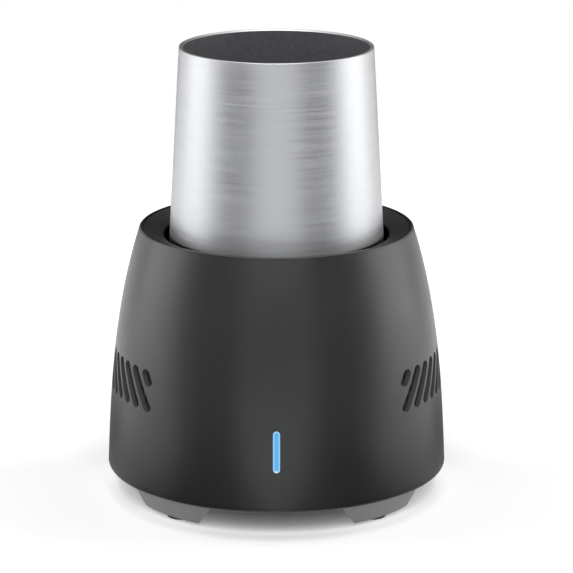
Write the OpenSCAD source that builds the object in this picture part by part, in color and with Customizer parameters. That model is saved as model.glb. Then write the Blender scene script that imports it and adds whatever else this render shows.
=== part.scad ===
// Desktop drink chiller: a tapered metal cup stands in a well, on a cold plate that a
// thermoelectric module cools. Under it lie a finned heat sink and a fan, in a flared
// round housing on four legs. The front, with the lit power key, faces -Y.
// The origin is on the axis, at the surface that the pads stand on. Millimetres.

/* [Housing] */
// Diameter of the housing at its bottom edge
body_d = 132; // [128:1:150]
// Height of the housing from its bottom edge to its rim
body_h = 95; // [93:0.5:110]
// Diameter of the housing at its rim
rim_d = 105.2; // [102:0.2:114]
// Thickness of the housing wall
wall = 2.2; // [1.8:0.1:2.8]
// Part of the rim's inset that grows in proportion to the height
flare_straight = 0.298; // [0.2:0.002:0.4]
// Part of the rim's inset that grows with the square of the height
flare_square = 0.095; // [0:0.005:0.2]
// Rounding of the bottom edge
edge_round = 1.5; // [0.5:0.1:2]
// Rounding of the rim's outer corner
rim_round = 0.6; // [0.2:0.1:0.9]
// Width of the housing's own lip around the dished collar
lip_w = 1.2; // [1:0.1:2]

/* [Vents] */
// Number of full slots on each side
vent_count = 13; // [8:1:13]
// Width of a slot
vent_w = 3.6; // [2:0.1:4]
// Height of a full slot from end to end
vent_h = 16; // [12:0.5:20]
// Height of a short slot at either end of the row
vent_short_h = 6.2; // [5:0.1:9]
// Height of the slots' lower ends above the bottom edge
vent_up = 32.2; // [30:0.2:36]
// Lean of the slots from upright, tops to the rear, in degrees
vent_lean = 33.5; // [15:0.5:40]
// Spacing of the slots from front to rear
vent_pitch = 5.84; // [5.2:0.02:6.2]
// Distance of the first full slot's foot in front of the axis
vent_front = 41.2; // [36:0.1:44]
// Depth of the pocket inside the wall that takes the screen
screen_pocket = 0.8; // [0.4:0.1:1]
// Thickness of a screen
screen_t = 1; // [0.8:0.1:1.5]
// Margin of a screen around the row of slots
screen_margin = 2; // [1.5:0.1:3]
// Width of an upright slit in a screen
slit_w = 1.1; // [0.8:0.1:1.4]
// Spacing of the slits in a screen
slit_pitch = 2.4; // [2:0.1:3]

/* [Cup and well] */
// Distance of the cup's rim inside the housing's rim, seen from above
rim_room = 15.55; // [14.5:0.05:17]
// Outer diameter of the cup at its rim
cup_rim_d = rim_d - 2 * rim_room;
// Height of the cup
cup_h = 104.6; // [96:0.2:112]
// Slope of the cup's side from upright, in degrees
cup_taper = 3.29; // [2:0.05:4]
// Thickness of the cup's wall
cup_wall = 1.5; // [1:0.1:2.5]
// Thickness of the cup's floor
cup_floor = 2.5; // [1.5:0.1:4]
// Rounding of the cup's bottom corner
cup_corner = 3; // [2:0.1:4]
// Bevel inside the cup's rim
cup_bevel = 0.5; // [0.3:0.1:0.8]
// Room between the cup's widest part and the hole that it lifts through
lift_gap = 0.36; // [0.3:0.02:0.8]
// Drop of the dished collar from the lip to the hole
dish_drop = 2.8; // [2:0.1:5]
// Bevel at the hole's edge
hole_bevel = 0.5; // [0.3:0.1:0.8]
// Thickness of the well's sleeve
sleeve_t = 2; // [1.5:0.1:2.5]
// Thickness of the seal under the sleeve
seal_t = 2; // [1.5:0.1:3]

/* [Base] */
// Height of a pad that shows under its leg
pad_out = 1.5; // [1:0.1:3]
// Depth of a pad's seat in its leg
pad_seat = 1; // [0.6:0.1:1.5]
// Diameter of a pad
pad_d = 11.6; // [9:0.1:12]
// Height of the legs below the housing's bottom edge
leg_h = 9.3; // [8:0.1:14]
// Distance of the legs' outer faces inside the housing's bottom edge
leg_inset = 7.9; // [5:0.1:8.5]
// Width of a leg at its foot
leg_foot_w = 29.3; // [24:0.1:34]
// Slope of a leg's ends from upright, in degrees
leg_lean = 31; // [20:1:45]
// Distance of a leg's outer face inside the base plate's edge, at the plate
leg_step = 1.8; // [1:0.1:3]
// Thickness of the base plate
plate_t = 2.5; // [2:0.1:3.5]
// Distance of the base plate above the housing's bottom edge
plate_up = 1.5; // [1:0.1:2.5]
// Number of round slots in the intake grille
grille_rings = 6; // [4:1:6]
// Width of a slot in the intake grille
grille_slot = 3.2; // [2:0.1:3.6]
// Spacing of the slots in the intake grille
grille_pitch = 5.4; // [5:0.1:6]
// Width of the grille's spokes
grille_spoke = 3; // [2:0.1:5]
// Height of the posts under the fan
post_h = 3; // [2:0.1:5]
// Height of the housing's screw bosses
boss_h = 9; // [8:0.5:9.5]
// Diameter of a screw boss
boss_d = 7; // [6.5:0.1:8]

/* [Fan and heat sink] */
// Room from the corners of the fan and heat sink to the housing's widest outside
corner_room = 9.43; // [8.6:0.01:10.4]
// Width of the fan
fan_w = (body_d / 2 - corner_room) * sqrt(2);
// Thickness of the fan
fan_t = 15; // [14:0.5:18]
// Distance of a screw hole's middle inside the fan's sides
hole_in = 4.25; // [4:0.05:4.6]
// Spacing of the fan's screw holes
fan_hole = fan_w - 2 * hole_in;
// Width of the fan's frame at its thinnest, beside the air opening
bore_rim = 2.5; // [2:0.1:4]
// Diameter of the fan's air opening
fan_bore = fan_w - 2 * bore_rim;
// Room between the blades and the air opening
tip_gap = 0.8; // [0.5:0.1:2]
// Diameter of the fan's hub
hub_d = 34; // [32:0.5:38]
// Number of blades
blade_count = 7; // [5:1:9]
// Pitch of the blades from level, in degrees
blade_pitch = 35; // [25:1:40]
// Diameter of the fan's shaft
shaft_d = 3; // [2.5:0.1:3.5]
// Width of the heat sink, flush with the fan under it
sink_w = fan_w;
// Height of the fins
fin_h = 22; // [20:0.5:28]
// Thickness of a fin
fin_t = 1.2; // [0.8:0.1:1.6]
// Number of fins
fin_count = 21; // [15:1:25]
// Thickness of the heat sink's base
sink_base = 6; // [5:0.5:8]

/* [Cold side] */
// Width of the thermoelectric module
module_w = 40; // [30:1:42]
// Thickness of the thermoelectric module
module_t = 3.8; // [3.4:0.1:4.6]
// Thickness of each ceramic face
ceramic_t = 0.9; // [0.6:0.1:1.1]
// Thickness of the cold plate
cold_t = 6.2; // [5.5:0.1:8]
// Spacing of the clamp screws
clamp_span = 52; // [48:0.5:54]
// Thickness of an insulating washer
washer_t = 1; // [0.6:0.1:1.4]

/* [Power key and inlet] */
// Width of the key
key_w = 2.7; // [2.4:0.05:4]
// Height of the key
key_h = 15.8; // [14:0.2:18]
// Height of the key's middle above the bottom edge
key_up = 23.9; // [23:0.1:28]
// Distance that the key stands proud of the housing
key_proud = 0.3; // [0:0.05:0.6]
// Room around the key
key_gap = 0.25; // [0.15:0.05:0.4]
// Height of the inlet's axis above the bottom edge
inlet_up = 21.5; // [21:0.1:25]
// Depth of the inlet's seat below the housing's surface
inlet_sink = 3; // [2.6:0.1:4]
// Diameter of the inlet's barrel
barrel_d = 8; // [7.6:0.1:9]
// Diameter of the inlet's socket
socket_d = 6; // [5.7:0.1:6.4]
// Depth of the inlet's socket
socket_deep = 10.5; // [9:0.5:12]
// Diameter of the inlet's centre pin
pin_d = 2.1; // [1.6:0.05:2.5]

/* [Control board] */
// Width of the board
board_w = 50; // [46:1:52]
// Height of the board
board_h = 34; // [30:1:35]
// Thickness of the board
board_t = 1.6; // [1.2:0.1:2]
// Height of the board's lower edge above the base plate
board_up = 7.2; // [6.5:0.1:8]
// Height of the tact switch's case on the board
switch_h = 3.5; // [3:0.1:4]
// Distance that the plunger stands out of the switch's case
plunger_out = 1.5; // [1.2:0.1:2]

/* [Fits] */
// Side clearance between fixed pieces
slack = 0.2; // [0.1:0.05:0.3]
// Clearance between a screw and its hole
screw_slack = 0.1; // [0.05:0.05:0.2]
// Diameter of the small screws
screw_d = 2.9; // [2.5:0.1:3]
// Diameter of the screw heads
head_d = 5.4; // [5:0.1:6]
// Height of the screw heads
head_h = 1.9; // [1.5:0.1:2.2]
// Clearance of the shaft in its bearing
run_slack = 0.03; // [0.02:0.01:0.08]

/* [Hidden] */
$fn = 96;
steps = 24;
band_steps = 5;
arc_steps = 6;
tube_sides = 8;
tube_steps = 4;
over = 1;
quarter = 90;

// Levels from the floor up
leg_z = pad_out;
edge_z = leg_z + leg_h;
plate_z = edge_z + plate_up;
plate_top = plate_z + plate_t;
fan_z = plate_top + post_h;
sink_z = fan_z + fan_t;
sink_base_z = sink_z + fin_h;
module_z = sink_base_z + sink_base;
cold_z = module_z + module_t;
cup_z = cold_z + cold_t;
sleeve_z = cup_z + seal_t;
rim_z = edge_z + body_h;
vent_z = edge_z + vent_up;
key_z = edge_z + key_up;
inlet_z = edge_z + inlet_up;

// Radius of the housing's outer face at a level
function shell_r(z) =
    let (t = (z - edge_z) / body_h)
    body_d / 2 - (body_d - rim_d) / 2
        * (flare_straight * t + flare_square * t * t + (1 - flare_straight - flare_square) * t * t * t);
function arc(cx, cz, r, from, to) =
    [for (i = [0:arc_steps]) let (a = from + (to - from) * i / arc_steps) [cx + r * cos(a), cz + r * sin(a)]];

// Cup and well
cup_rim_r = cup_rim_d / 2;
cup_slope = tan(cup_taper);
cup_base_r = cup_rim_r + cup_h * cup_slope;
hole_r = cup_base_r + lift_gap;
well_r = hole_r + slack;
sleeve_r = well_r + sleeve_t;
cold_r = sleeve_r + 2 * slack;
seal_r = sleeve_r + slack;
lip_r = rim_d / 2 - lip_w;
dish_r = lip_r - slack;
ledge_drop = 3.4;
ledge_t = 1.8;
ledge_w = 2.8;
ledge_root = 3;
skirt_drop = 1;
skirt_rise = 0.5;
foam_drop = 4;
ledge_z = rim_z - ledge_drop;
ledge_r = lip_r - ledge_w;

// Base, legs and pads
plate_r = shell_r(plate_top) - wall - slack;
hole_c = fan_hole / 2;
hole_ring_r = hole_c * sqrt(2);
bore_wall = 2.5;
head_room = 0.8;
head_bore_d = head_d + 2 * head_room;
leg_out_r = body_d / 2 - leg_inset;
leg_in_r = hole_ring_r - head_bore_d / 2 - bore_wall;
leg_top_r = plate_r - leg_step;
leg_turn = asin(leg_foot_w / 2 / leg_out_r);
gap_half = leg_out_r * sin(quarter / 2 - leg_turn);
pad_edge = 1.2;
pad_r = leg_out_r - pad_d / 2 - pad_edge;
boss_inset = 3;
boss_r = shell_r(plate_top) - wall - boss_d / 2 - boss_inset;
boss_rib = 3;
head_floor = 1.2;
stack_head_drop = 2.8;
stack_head_z = plate_z - stack_head_drop;
stack_grip = 8;
grille_first = 5.5;
grille_spokes = 6;

// Fan
blade_low = 1.4;
blade_t = 1.4;
blade_chord = 15;
blade_turn = 360 / blade_count;
hub_wall = 1.5;
hub_in_r = hub_d / 2 - hub_wall;
hub_plate_t = 2;
hub_low = 0.8;
hub_top_gap = 1;
strut_w = 4;
frame_corner = 4;
magnet_t = 2;
magnet_h = 8;
stator_gap = 0.5;
stator_h = 7;
bearing_r = 3.5;
bearing_h = 8;
tube_wall = 1.2;
shaft_low = 0.4;
hub_z = fan_z + hub_plate_t + hub_low;
hub_top = sink_z - hub_top_gap;

// Heat sink and clamps
fin_pitch = (sink_w - fin_t) / (fin_count - 1);
sink_post = 2 * hole_in;
gasket_in = 0.4;
gasket_edge = 2;
gasket_w = sink_w - 2 * gasket_edge;
core_in = 0.8;
clamp_c = clamp_span / 2;
clamp_grip = 4;
clamp_sunk = 0.4;
clamp_bore_deep = head_h + washer_t + clamp_sunk;
sensor_d = 3;
sensor_in = 6;
sensor_out = 0.8;

// Power key, switch and board, from the front inwards
key_top = key_z + key_h / 2;
key_seat_wall = 1.2;
key_seat_y = -(shell_r(key_top) - wall - key_seat_wall);
key_rim = 1;
flange_w = 7;
flange_h = 20;
flange_t = 1.6;
pusher_d = 3;
pusher_h = 4.2;
plunger_d = 3.4;
plunger_in = 2;
switch_w = 6;
board_y = key_seat_y + flange_t + pusher_h + plunger_out + switch_h;
board_z = plate_top + board_up;
rail_w = 4;
rail_grip = 1;
rail_side = 2.5;
rail_h = 26;
led_w = 2.8;
led_h = 3.5;
led_t = 1.9;
led_up = 6;
part_y = board_y + board_t;
connector_w = 6;
connector_t = 4.5;
connector_up = 2;
connector_step = 16;
chip_w = 6.5;
chip_t = 1.5;
chip_at = [-11, 16];
coil_w = 7;
coil_t = 4;
coil_at = [2.5, 10.5];
capacitor_d = 6.3;
capacitor_h = 6.2;
capacitor_up = 22;
capacitor_x = [-18, 6];

// Inlet at the rear
inlet_seat_y = shell_r(inlet_z) - inlet_sink;
inlet_panel = 3.7;
flange_d = 11.6;
flange_rim = 1.4;
barrel_deep = 14.2;
nut_w = 11;
nut_t = 2.4;
inlet_boss = 2.6;
inlet_face_y = inlet_seat_y + flange_rim;

// Internal leads, as hand-chosen points
lead_d = 2.4;
module_lead_d = 1.8;
sensor_lead_d = 1.4;
lead_pair = 1.4;
lead_clear = 3;
lead_bend = 4;
lead_sides = [connector_step - lead_pair, connector_step + lead_pair];
connector_z = board_z + connector_up;
connector_y = part_y + connector_t / 2;
barrel_end_y = inlet_seat_y - barrel_deep;
lead_rise = 3.2;
low_z = plate_top + lead_rise;
fan_side = fan_w / 2;
fan_corner_r = fan_side * sqrt(2) - frame_corner * (sqrt(2) - 1);
rail_back_y = board_y + board_t + rail_side;
side_run = (fan_side + boss_r - boss_d / 2) / 2;
corner_run = (fan_corner_r + plate_r) / 2 / sqrt(2);
front_run = (fan_side - rail_back_y) / 2;
power_route = [
    [0, barrel_end_y, inlet_z], [0, barrel_end_y - 2.5, inlet_z], [-8, barrel_end_y - 3, inlet_z - 3],
    [-fan_side * 3 / 4, side_run, low_z + 5], [-corner_run, corner_run, low_z],
    [-side_run, fan_side / 3, low_z], [-side_run, -fan_side / 3, low_z], [-corner_run, -corner_run, low_z],
    [-board_w / 2 - rail_w - 3, -front_run, low_z], [-board_w / 2 + 2, -front_run, low_z],
    [-connector_step - 1.5, connector_y + 0.7, low_z + 0.6],
    [-connector_step, connector_y, connector_z - 2], [-connector_step, connector_y, connector_z]
];
fan_route = [
    [0, -fan_side, fan_z + 1.8], [0, -fan_side - 2, fan_z + 1.8], [0, connector_y + 1, fan_z + 2.8],
    [0, connector_y, connector_z - 1], [0, connector_y, connector_z]
];
module_mid = module_z + module_t / 2;
connector_top = connector_z + connector_w;
peltier_route = [
    [0, -module_w / 2 + core_in, module_mid], [0, -gasket_w / 2 + lead_bend, module_mid],
    [0, -sink_w / 2 - lead_clear, module_mid - lead_clear * 0.4],
    [0, connector_y + lead_clear / 5, module_mid - 2 * lead_clear], [0, connector_y, module_mid - 4 * lead_bend],
    [0, connector_y, connector_top + lead_bend], [0, connector_y, connector_top]
];
sensor_z = cold_z + cold_t / 2;
sensor_route = [
    [0, -cold_r - sensor_out, sensor_z], [0, -cold_r - sensor_out - 1.2, sensor_z],
    [0, -cold_r - sensor_out - 1.6, cold_z - 1], [0, board_y + board_t / 2, board_z + board_h + 3],
    [0, board_y + board_t / 2, board_z + board_h]
];

// Swept round lead through hand-chosen points
function unit(v) = v / norm(v);
function at(p, i) = p[min(max(i, 0), len(p) - 1)];
function spline(p, i, t) =
    let (a = at(p, i - 1), b = at(p, i), c = at(p, i + 1), d = at(p, i + 2))
    0.5 * (2 * b + (c - a) * t + (2 * a - 5 * b + 4 * c - d) * t * t + (3 * b - a - 3 * c + d) * t * t * t);
function smooth(p) = concat(
    [for (i = [0:len(p) - 2]) for (k = [0:tube_steps - 1]) spline(p, i, k / tube_steps)],
    [p[len(p) - 1]]);
function heading(q, i) = unit(at(q, i + 1) - at(q, i - 1));
function carry(ways, i, n) =
    i == len(ways) ? [] : let (h = ways[i], m = unit(n - (n * h) * h)) concat([m], carry(ways, i + 1, m));
module tube(route, d, side) {
    path = smooth(route);
    rings = len(path);
    ends = len(route) - 1;
    ways = concat([unit(route[1] - route[0])], [for (i = [1:rings - 2]) heading(path, i)],
        [unit(route[ends] - route[ends - 1])]);
    normals = carry(ways, 0, side);
    points = [for (i = [0:rings - 1]) for (k = [0:tube_sides - 1])
        let (n = normals[i], b = cross(ways[i], n), a = 360 * k / tube_sides)
        path[i] + d / 2 * (cos(a) * n + sin(a) * b)];
    walls = [for (i = [0:rings - 2]) for (k = [0:tube_sides - 1])
        let (a = i * tube_sides + k, b = i * tube_sides + (k + 1) % tube_sides)
        [a, a + tube_sides, b + tube_sides, b]];
    first = [for (k = [0:tube_sides - 1]) k];
    last = [for (k = [0:tube_sides - 1]) rings * tube_sides - 1 - k];
    polyhedron(points, concat(walls, [first, last]));
}

// Shared shapes
module disc(r, z, h) { translate([0, 0, z]) cylinder(r = r, h = h); }
module block(w, d, z, h) { translate([-w / 2, -d / 2, z]) cube([w, d, h]); }
module at_corners(c) { for (x = [-c, c], y = [-c, c]) translate([x, y, 0]) children(); }
module at_bosses() { for (k = [0:3]) rotate([0, 0, quarter * k]) translate([boss_r, 0, 0]) children(); }
module along_y(x, y, z) { translate([x, y, z]) rotate([-quarter, 0, 0]) children(); }
module screw(head_z, length) {
    disc(head_d / 2, head_z, head_h);
    disc(screw_d / 2, head_z + head_h, length);
}
module capsule(w, h) {
    square([w, h - w], center = true);
    for (s = [-1, 1]) translate([0, s * (h - w) / 2]) circle(d = w);
}
// Outline of the housing's inside or outside, moved in by a distance, over a stretch of height
function shell_line(inset, from, to, n = steps) =
    [for (i = [0:n]) let (z = from + (to - from) * i / n) [shell_r(z) - inset, z]];
module shell_band(inset, t, from, to) {
    rotate_extrude() polygon(concat(
        shell_line(inset, from, to, band_steps), shell_line(inset + t, to, from, band_steps)));
}

// Vent slots lie in the side view and are cut along X
vent_rise = (vent_h - vent_w) * tan(vent_lean);
vent_back = vent_count * vent_pitch - vent_front;
vent_end = vent_back - vent_pitch + vent_rise;
vent_mid = (vent_end - vent_front) / 2;
vent_half = (vent_end + vent_front) / 2 + vent_w / 2;
module slot(foot_y, foot_z, h) {
    run = (h - vent_w) * tan(vent_lean);
    translate([foot_y + run / 2, foot_z + h / 2]) rotate(-vent_lean)
        capsule(vent_w, (h - vent_w) / cos(vent_lean) + vent_w);
}
module vent_slots() {
    short_run = (vent_short_h - vent_w) * tan(vent_lean);
    for (k = [0:vent_count - 1])
        slot(k * vent_pitch - vent_front, vent_z, vent_h);
    slot(vent_rise - vent_front - vent_pitch - short_run, vent_z + vent_h - vent_short_h, vent_short_h);
    slot(vent_back, vent_z, vent_short_h);
}
module sideways() {
    rotate([quarter, 0, quarter]) linear_extrude(height = body_d) children();
}
module screen_window(margin) {
    translate([0, vent_mid - vent_half - margin, 0])
        cube([body_d, 2 * (vent_half + margin), body_d]);
}

module key_prism(gap, from_y) {
    translate([0, from_y, key_z]) rotate([quarter, 0, 0]) linear_extrude(height = body_d)
        capsule(key_w + 2 * gap, key_h + 2 * gap);
}

module shell_skin() {
    wall_top = ledge_z - ledge_t - ledge_root;
    rotate_extrude() polygon(concat(
        [[shell_r(edge_z) - wall, edge_z]],
        arc(shell_r(edge_z + edge_round) - edge_round, edge_z + edge_round, edge_round, -quarter, 0),
        shell_line(0, edge_z + edge_round, rim_z - rim_round),
        arc(rim_d / 2 - rim_round, rim_z - rim_round, rim_round, 0, quarter),
        [[lip_r, rim_z], [lip_r, ledge_z], [ledge_r, ledge_z], [ledge_r, ledge_z - ledge_t]],
        shell_line(wall, wall_top, edge_z + edge_round)));
}

module housing_shell() {
    color("#46474a") difference() {
        union() {
            shell_skin();
            at_bosses() {
                disc(boss_d / 2, plate_top, boss_h);
                translate([0, -boss_rib / 2, plate_top])
                    cube([shell_r(plate_top) - wall / 2 - boss_r, boss_rib, boss_h]);
            }
            intersection() {
                union() {
                    translate([-flange_w / 2 - key_rim, -body_d / 2, key_z - flange_h / 2 - key_rim])
                        cube([flange_w + 2 * key_rim, body_d / 2 + key_seat_y, flange_h + 2 * key_rim]);
                    along_y(0, inlet_seat_y - inlet_panel, inlet_z)
                        cylinder(d = flange_d + 2 * inlet_boss, h = body_d / 4);
                }
                shell_band(wall / 2, body_d / 4, plate_top, vent_z + vent_h);
            }
        }
        at_bosses() disc(screw_d / 2 + screw_slack, plate_top - over, boss_h + over - 0.6);
        sideways() vent_slots();
        mirror([1, 0, 0]) sideways() vent_slots();
        for (side = [0, 1]) mirror([side, 0, 0]) intersection() {
            shell_band(wall - screen_pocket, screen_pocket + over, vent_z - screen_margin - slack,
                vent_z + vent_h + screen_margin + slack);
            screen_window(screen_margin + slack);
        }
        key_prism(key_gap, key_seat_y + over);
        along_y(0, inlet_seat_y, inlet_z) cylinder(d = flange_d + 2 * slack, h = body_d / 4);
        along_y(0, inlet_seat_y - inlet_panel - over, inlet_z)
            cylinder(d = barrel_d + 2 * screw_slack, h = body_d / 4);
    }
}

module top_collar() {
    dish_top = rim_z - slack;
    hole_z = dish_top - dish_drop;
    flange_in_r = ledge_r - slack;
    color("#3e3f41") rotate_extrude() polygon([
        [dish_r, ledge_z], [dish_r, dish_top], [hole_r + hole_bevel, hole_z],
        [hole_r, hole_z - hole_bevel], [hole_r, hole_z - sleeve_t], [well_r, hole_z - sleeve_t],
        [well_r, sleeve_z], [sleeve_r, sleeve_z], [sleeve_r, ledge_z - ledge_t - skirt_drop],
        [flange_in_r, ledge_z - ledge_t + skirt_rise], [flange_in_r, ledge_z]
    ]);
}

module cup() {
    top = cup_z + cup_h;
    in_corner = cup_corner - cup_wall;
    floor_z = cup_z + cup_floor;
    corner_r = cup_base_r - cup_corner * (1 + cup_slope);
    in_corner_r = cup_base_r - (cup_floor + in_corner) * cup_slope - cup_wall - in_corner;
    lip = 0.3;
    color("#c3c4c6") rotate_extrude() polygon(concat(
        [[0, cup_z]],
        arc(corner_r, cup_z + cup_corner, cup_corner, -quarter, 0),
        [[cup_rim_r + lip * cup_slope, top - lip], [cup_rim_r - lip, top],
         [cup_rim_r - cup_wall + cup_bevel, top], [cup_rim_r - cup_wall, top - cup_bevel]],
        arc(in_corner_r, floor_z + in_corner, in_corner, 0, -quarter),
        [[0, floor_z]]));
}

module power_key() {
    color("#5ab2ec") {
        intersection() {
            key_prism(0, key_seat_y);
            disc(body_d, 0, rim_z);
            rotate_extrude() polygon(concat([[0, edge_z]], shell_line(-key_proud, edge_z, rim_z), [[0, rim_z]]));
        }
        translate([-flange_w / 2, key_seat_y, key_z - flange_h / 2]) cube([flange_w, flange_t, flange_h]);
        along_y(0, key_seat_y, key_z) cylinder(d = pusher_d, h = flange_t + pusher_h);
    }
}

module vent_screen() {
    slits = floor((vent_half + screen_margin - slit_pitch) / slit_pitch);
    low = vent_z - screen_margin;
    high = vent_z + vent_h + screen_margin;
    color("#2f3032") difference() {
        intersection() {
            shell_band(wall - screen_pocket + slack, screen_t, low, high);
            screen_window(screen_margin);
        }
        for (k = [-slits:slits])
            translate([0, vent_mid + k * slit_pitch - slit_w / 2, low + screen_margin])
                cube([body_d, slit_w, vent_h]);
    }
}

// A leg's end face: one side of a straight air gap between two legs, leaning over the gap
module leg_cut(side) {
    rotate([0, 0, side * quarter / 2]) translate([0, -side * gap_half, leg_z]) rotate([-side * leg_lean, 0, 0])
        translate([0, side > 0 ? 0 : -body_d, -body_d]) cube([body_d, body_d, 2 * body_d]);
}
module leg() {
    difference() {
        intersection() {
            difference() {
                translate([0, 0, leg_z])
                    cylinder(r1 = leg_out_r, r2 = leg_top_r, h = plate_z - leg_z + over);
                disc(leg_in_r, leg_z - over, plate_z - leg_z + 3 * over);
            }
            translate([0, -body_d / 2, 0]) cube(body_d);
        }
        leg_cut(1);
        leg_cut(-1);
    }
}
module at_legs() { for (k = [0:3]) rotate([0, 0, quarter * k + quarter / 2]) children(); }

module grille() {
    difference() {
        for (k = [0:grille_rings - 1])
            let (r = grille_first + k * grille_pitch)
            difference() {
                disc(r + grille_slot, plate_z - over, plate_t + 2 * over);
                disc(r, plate_z - 2 * over, plate_t + 4 * over);
            }
        for (k = [0:grille_spokes / 2 - 1]) rotate([0, 0, 180 * k / (grille_spokes / 2)])
            block(body_d, grille_spoke, plate_z - 3 * over, plate_t + 6 * over);
    }
}

module board_rail(side) {
    x = side * (board_w / 2 + rail_w / 2 - rail_grip);
    difference() {
        translate([x - rail_w / 2, board_y - rail_side, plate_top - over])
            cube([rail_w, board_t + 2 * rail_side, board_up + rail_h + over]);
        translate([-board_w / 2 - slack, board_y - slack / 2, board_z])
            cube([board_w + 2 * slack, board_t + slack, board_h]);
    }
}

module base_plate() {
    color("#9b9d9f") difference() {
        union() {
            disc(plate_r, plate_z, plate_t);
            at_legs() leg();
            at_corners(hole_c) disc(head_bore_d / 2 + 1, plate_top - over, post_h + over);
            board_rail(1);
            board_rail(-1);
        }
        grille();
        at_bosses() {
            disc(head_d / 2 + slack, plate_z - over, over + head_floor);
            disc(screw_d / 2 + slack, plate_z - over, plate_t + 2 * over);
        }
        at_legs() translate([pad_r, 0, 0]) disc(pad_d / 2 + slack / 2, leg_z - over, pad_seat + over);
        at_corners(hole_c) {
            disc(head_bore_d / 2, leg_z - over, stack_head_z + head_h - leg_z + over);
            disc(screw_d / 2 + slack, leg_z, fan_z - leg_z + over);
        }
    }
}

module foot_pad(turn) {
    color("#161617") rotate([0, 0, turn]) translate([pad_r, 0, 0])
        disc(pad_d / 2, 0, pad_out + pad_seat);
}

module housing_screws() {
    color("#8f9194") at_bosses() screw(plate_z + head_floor - head_h, boss_h);
}

module stack_screws() {
    color("#8f9194") at_corners(hole_c)
        screw(stack_head_z, sink_z + stack_grip - stack_head_z - head_h);
}

module dc_inlet() {
    color("#1c1c1e") difference() {
        union() {
            along_y(0, inlet_seat_y, inlet_z) cylinder(d = flange_d, h = flange_rim);
            along_y(0, barrel_end_y, inlet_z) cylinder(d = barrel_d, h = barrel_deep + flange_rim / 2);
        }
        along_y(0, inlet_face_y - socket_deep, inlet_z) cylinder(d = socket_d, h = body_d / 4);
    }
}

module dc_inlet_pin() {
    pin_low = 0.8;
    color("#c8b27a") along_y(0, inlet_face_y - socket_deep, inlet_z)
        cylinder(d = pin_d, h = socket_deep - pin_low);
}

module dc_inlet_nut() {
    color("#a9abae") along_y(0, inlet_seat_y - inlet_panel - nut_t, inlet_z) difference() {
        cylinder(d = nut_w / cos(30), h = nut_t, $fn = 6);
        translate([0, 0, -over]) cylinder(d = barrel_d + screw_slack, h = nut_t + 2 * over);
    }
}

module cold_plate() {
    color("#b9bbbd") difference() {
        disc(cold_r, cold_z, cold_t);
        at_corners(clamp_c) {
            disc(head_bore_d / 2, cup_z - clamp_bore_deep, clamp_bore_deep + over);
            disc(screw_d / 2 + slack, cold_z - over, cold_t + 2 * over);
        }
        along_y(0, -cold_r - over, sensor_z) cylinder(d = sensor_d + screw_slack, h = sensor_in + over);
    }
}

module well_seal() {
    color("#222224") difference() {
        disc(seal_r, cup_z, seal_t);
        disc(well_r, cup_z - over, seal_t + 2 * over);
    }
}

module insulation_ring() {
    low = sleeve_z + 1;
    high = ledge_z - ledge_t - foam_drop;
    foam_gap = 1.2;
    color("#e4e4e0") rotate_extrude() polygon(concat(
        [[sleeve_r + slack, low]],
        shell_line(wall + foam_gap, low, high),
        [[sleeve_r + slack, high]]));
}

module temperature_sensor() {
    color("#202226") along_y(0, -cold_r - sensor_out, sensor_z)
        cylinder(d = sensor_d, h = sensor_in + sensor_out);
}

module peltier_cold_face() { color("#efefec") block(module_w, module_w, cold_z - ceramic_t, ceramic_t); }

module peltier_hot_face() { color("#efefec") block(module_w, module_w, module_z, ceramic_t); }

module peltier_couples() {
    color("#8b8d90")
        block(module_w - 2 * core_in, module_w - 2 * core_in, module_z + ceramic_t, module_t - 2 * ceramic_t);
}

module peltier_gasket() {
    window = module_w + 2 * gasket_in;
    lead_room = module_lead_d + 2 * gasket_in;
    color("#3a3a3c") difference() {
        block(gasket_w, gasket_w, module_z, module_t);
        block(window, window, module_z - over, module_t + 2 * over);
        at_corners(clamp_c) disc(screw_d / 2 + gasket_in, module_z - over, module_t + 2 * over);
        translate([lead_sides[0] - lead_room / 2, -gasket_w, module_z - over])
            cube([lead_sides[1] - lead_sides[0] + lead_room, gasket_w, module_t + 2 * over]);
    }
}

module clamp_screws() {
    head_z = cup_z - clamp_bore_deep + washer_t;
    color("#8f9194") at_corners(clamp_c) {
        disc(head_d / 2, head_z, head_h);
        disc(screw_d / 2, module_z - clamp_grip, head_z - module_z + clamp_grip);
    }
}

module clamp_washers() {
    color("#d9d6c8") at_corners(clamp_c) translate([0, 0, cup_z - clamp_bore_deep]) difference() {
        cylinder(d = head_d + head_room, h = washer_t);
        translate([0, 0, -over]) cylinder(d = screw_d + 2 * screw_slack, h = washer_t + 2 * over);
    }
}

module heat_sink() {
    color("#aeb0b3") difference() {
        union() {
            block(sink_w, sink_w, sink_base_z, sink_base);
            for (k = [0:fin_count - 1])
                translate([-sink_w / 2, k * fin_pitch - sink_w / 2, sink_z]) cube([sink_w, fin_t, fin_h + over]);
            at_corners((sink_w - sink_post) / 2) block(sink_post, sink_post, sink_z, fin_h + over);
        }
        at_corners(hole_c) disc(screw_d / 2 + screw_slack, sink_z - over, stack_grip + 2 * over);
        at_corners(clamp_c) disc(screw_d / 2 + screw_slack, module_z - sink_base + over, sink_base);
    }
}

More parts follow.
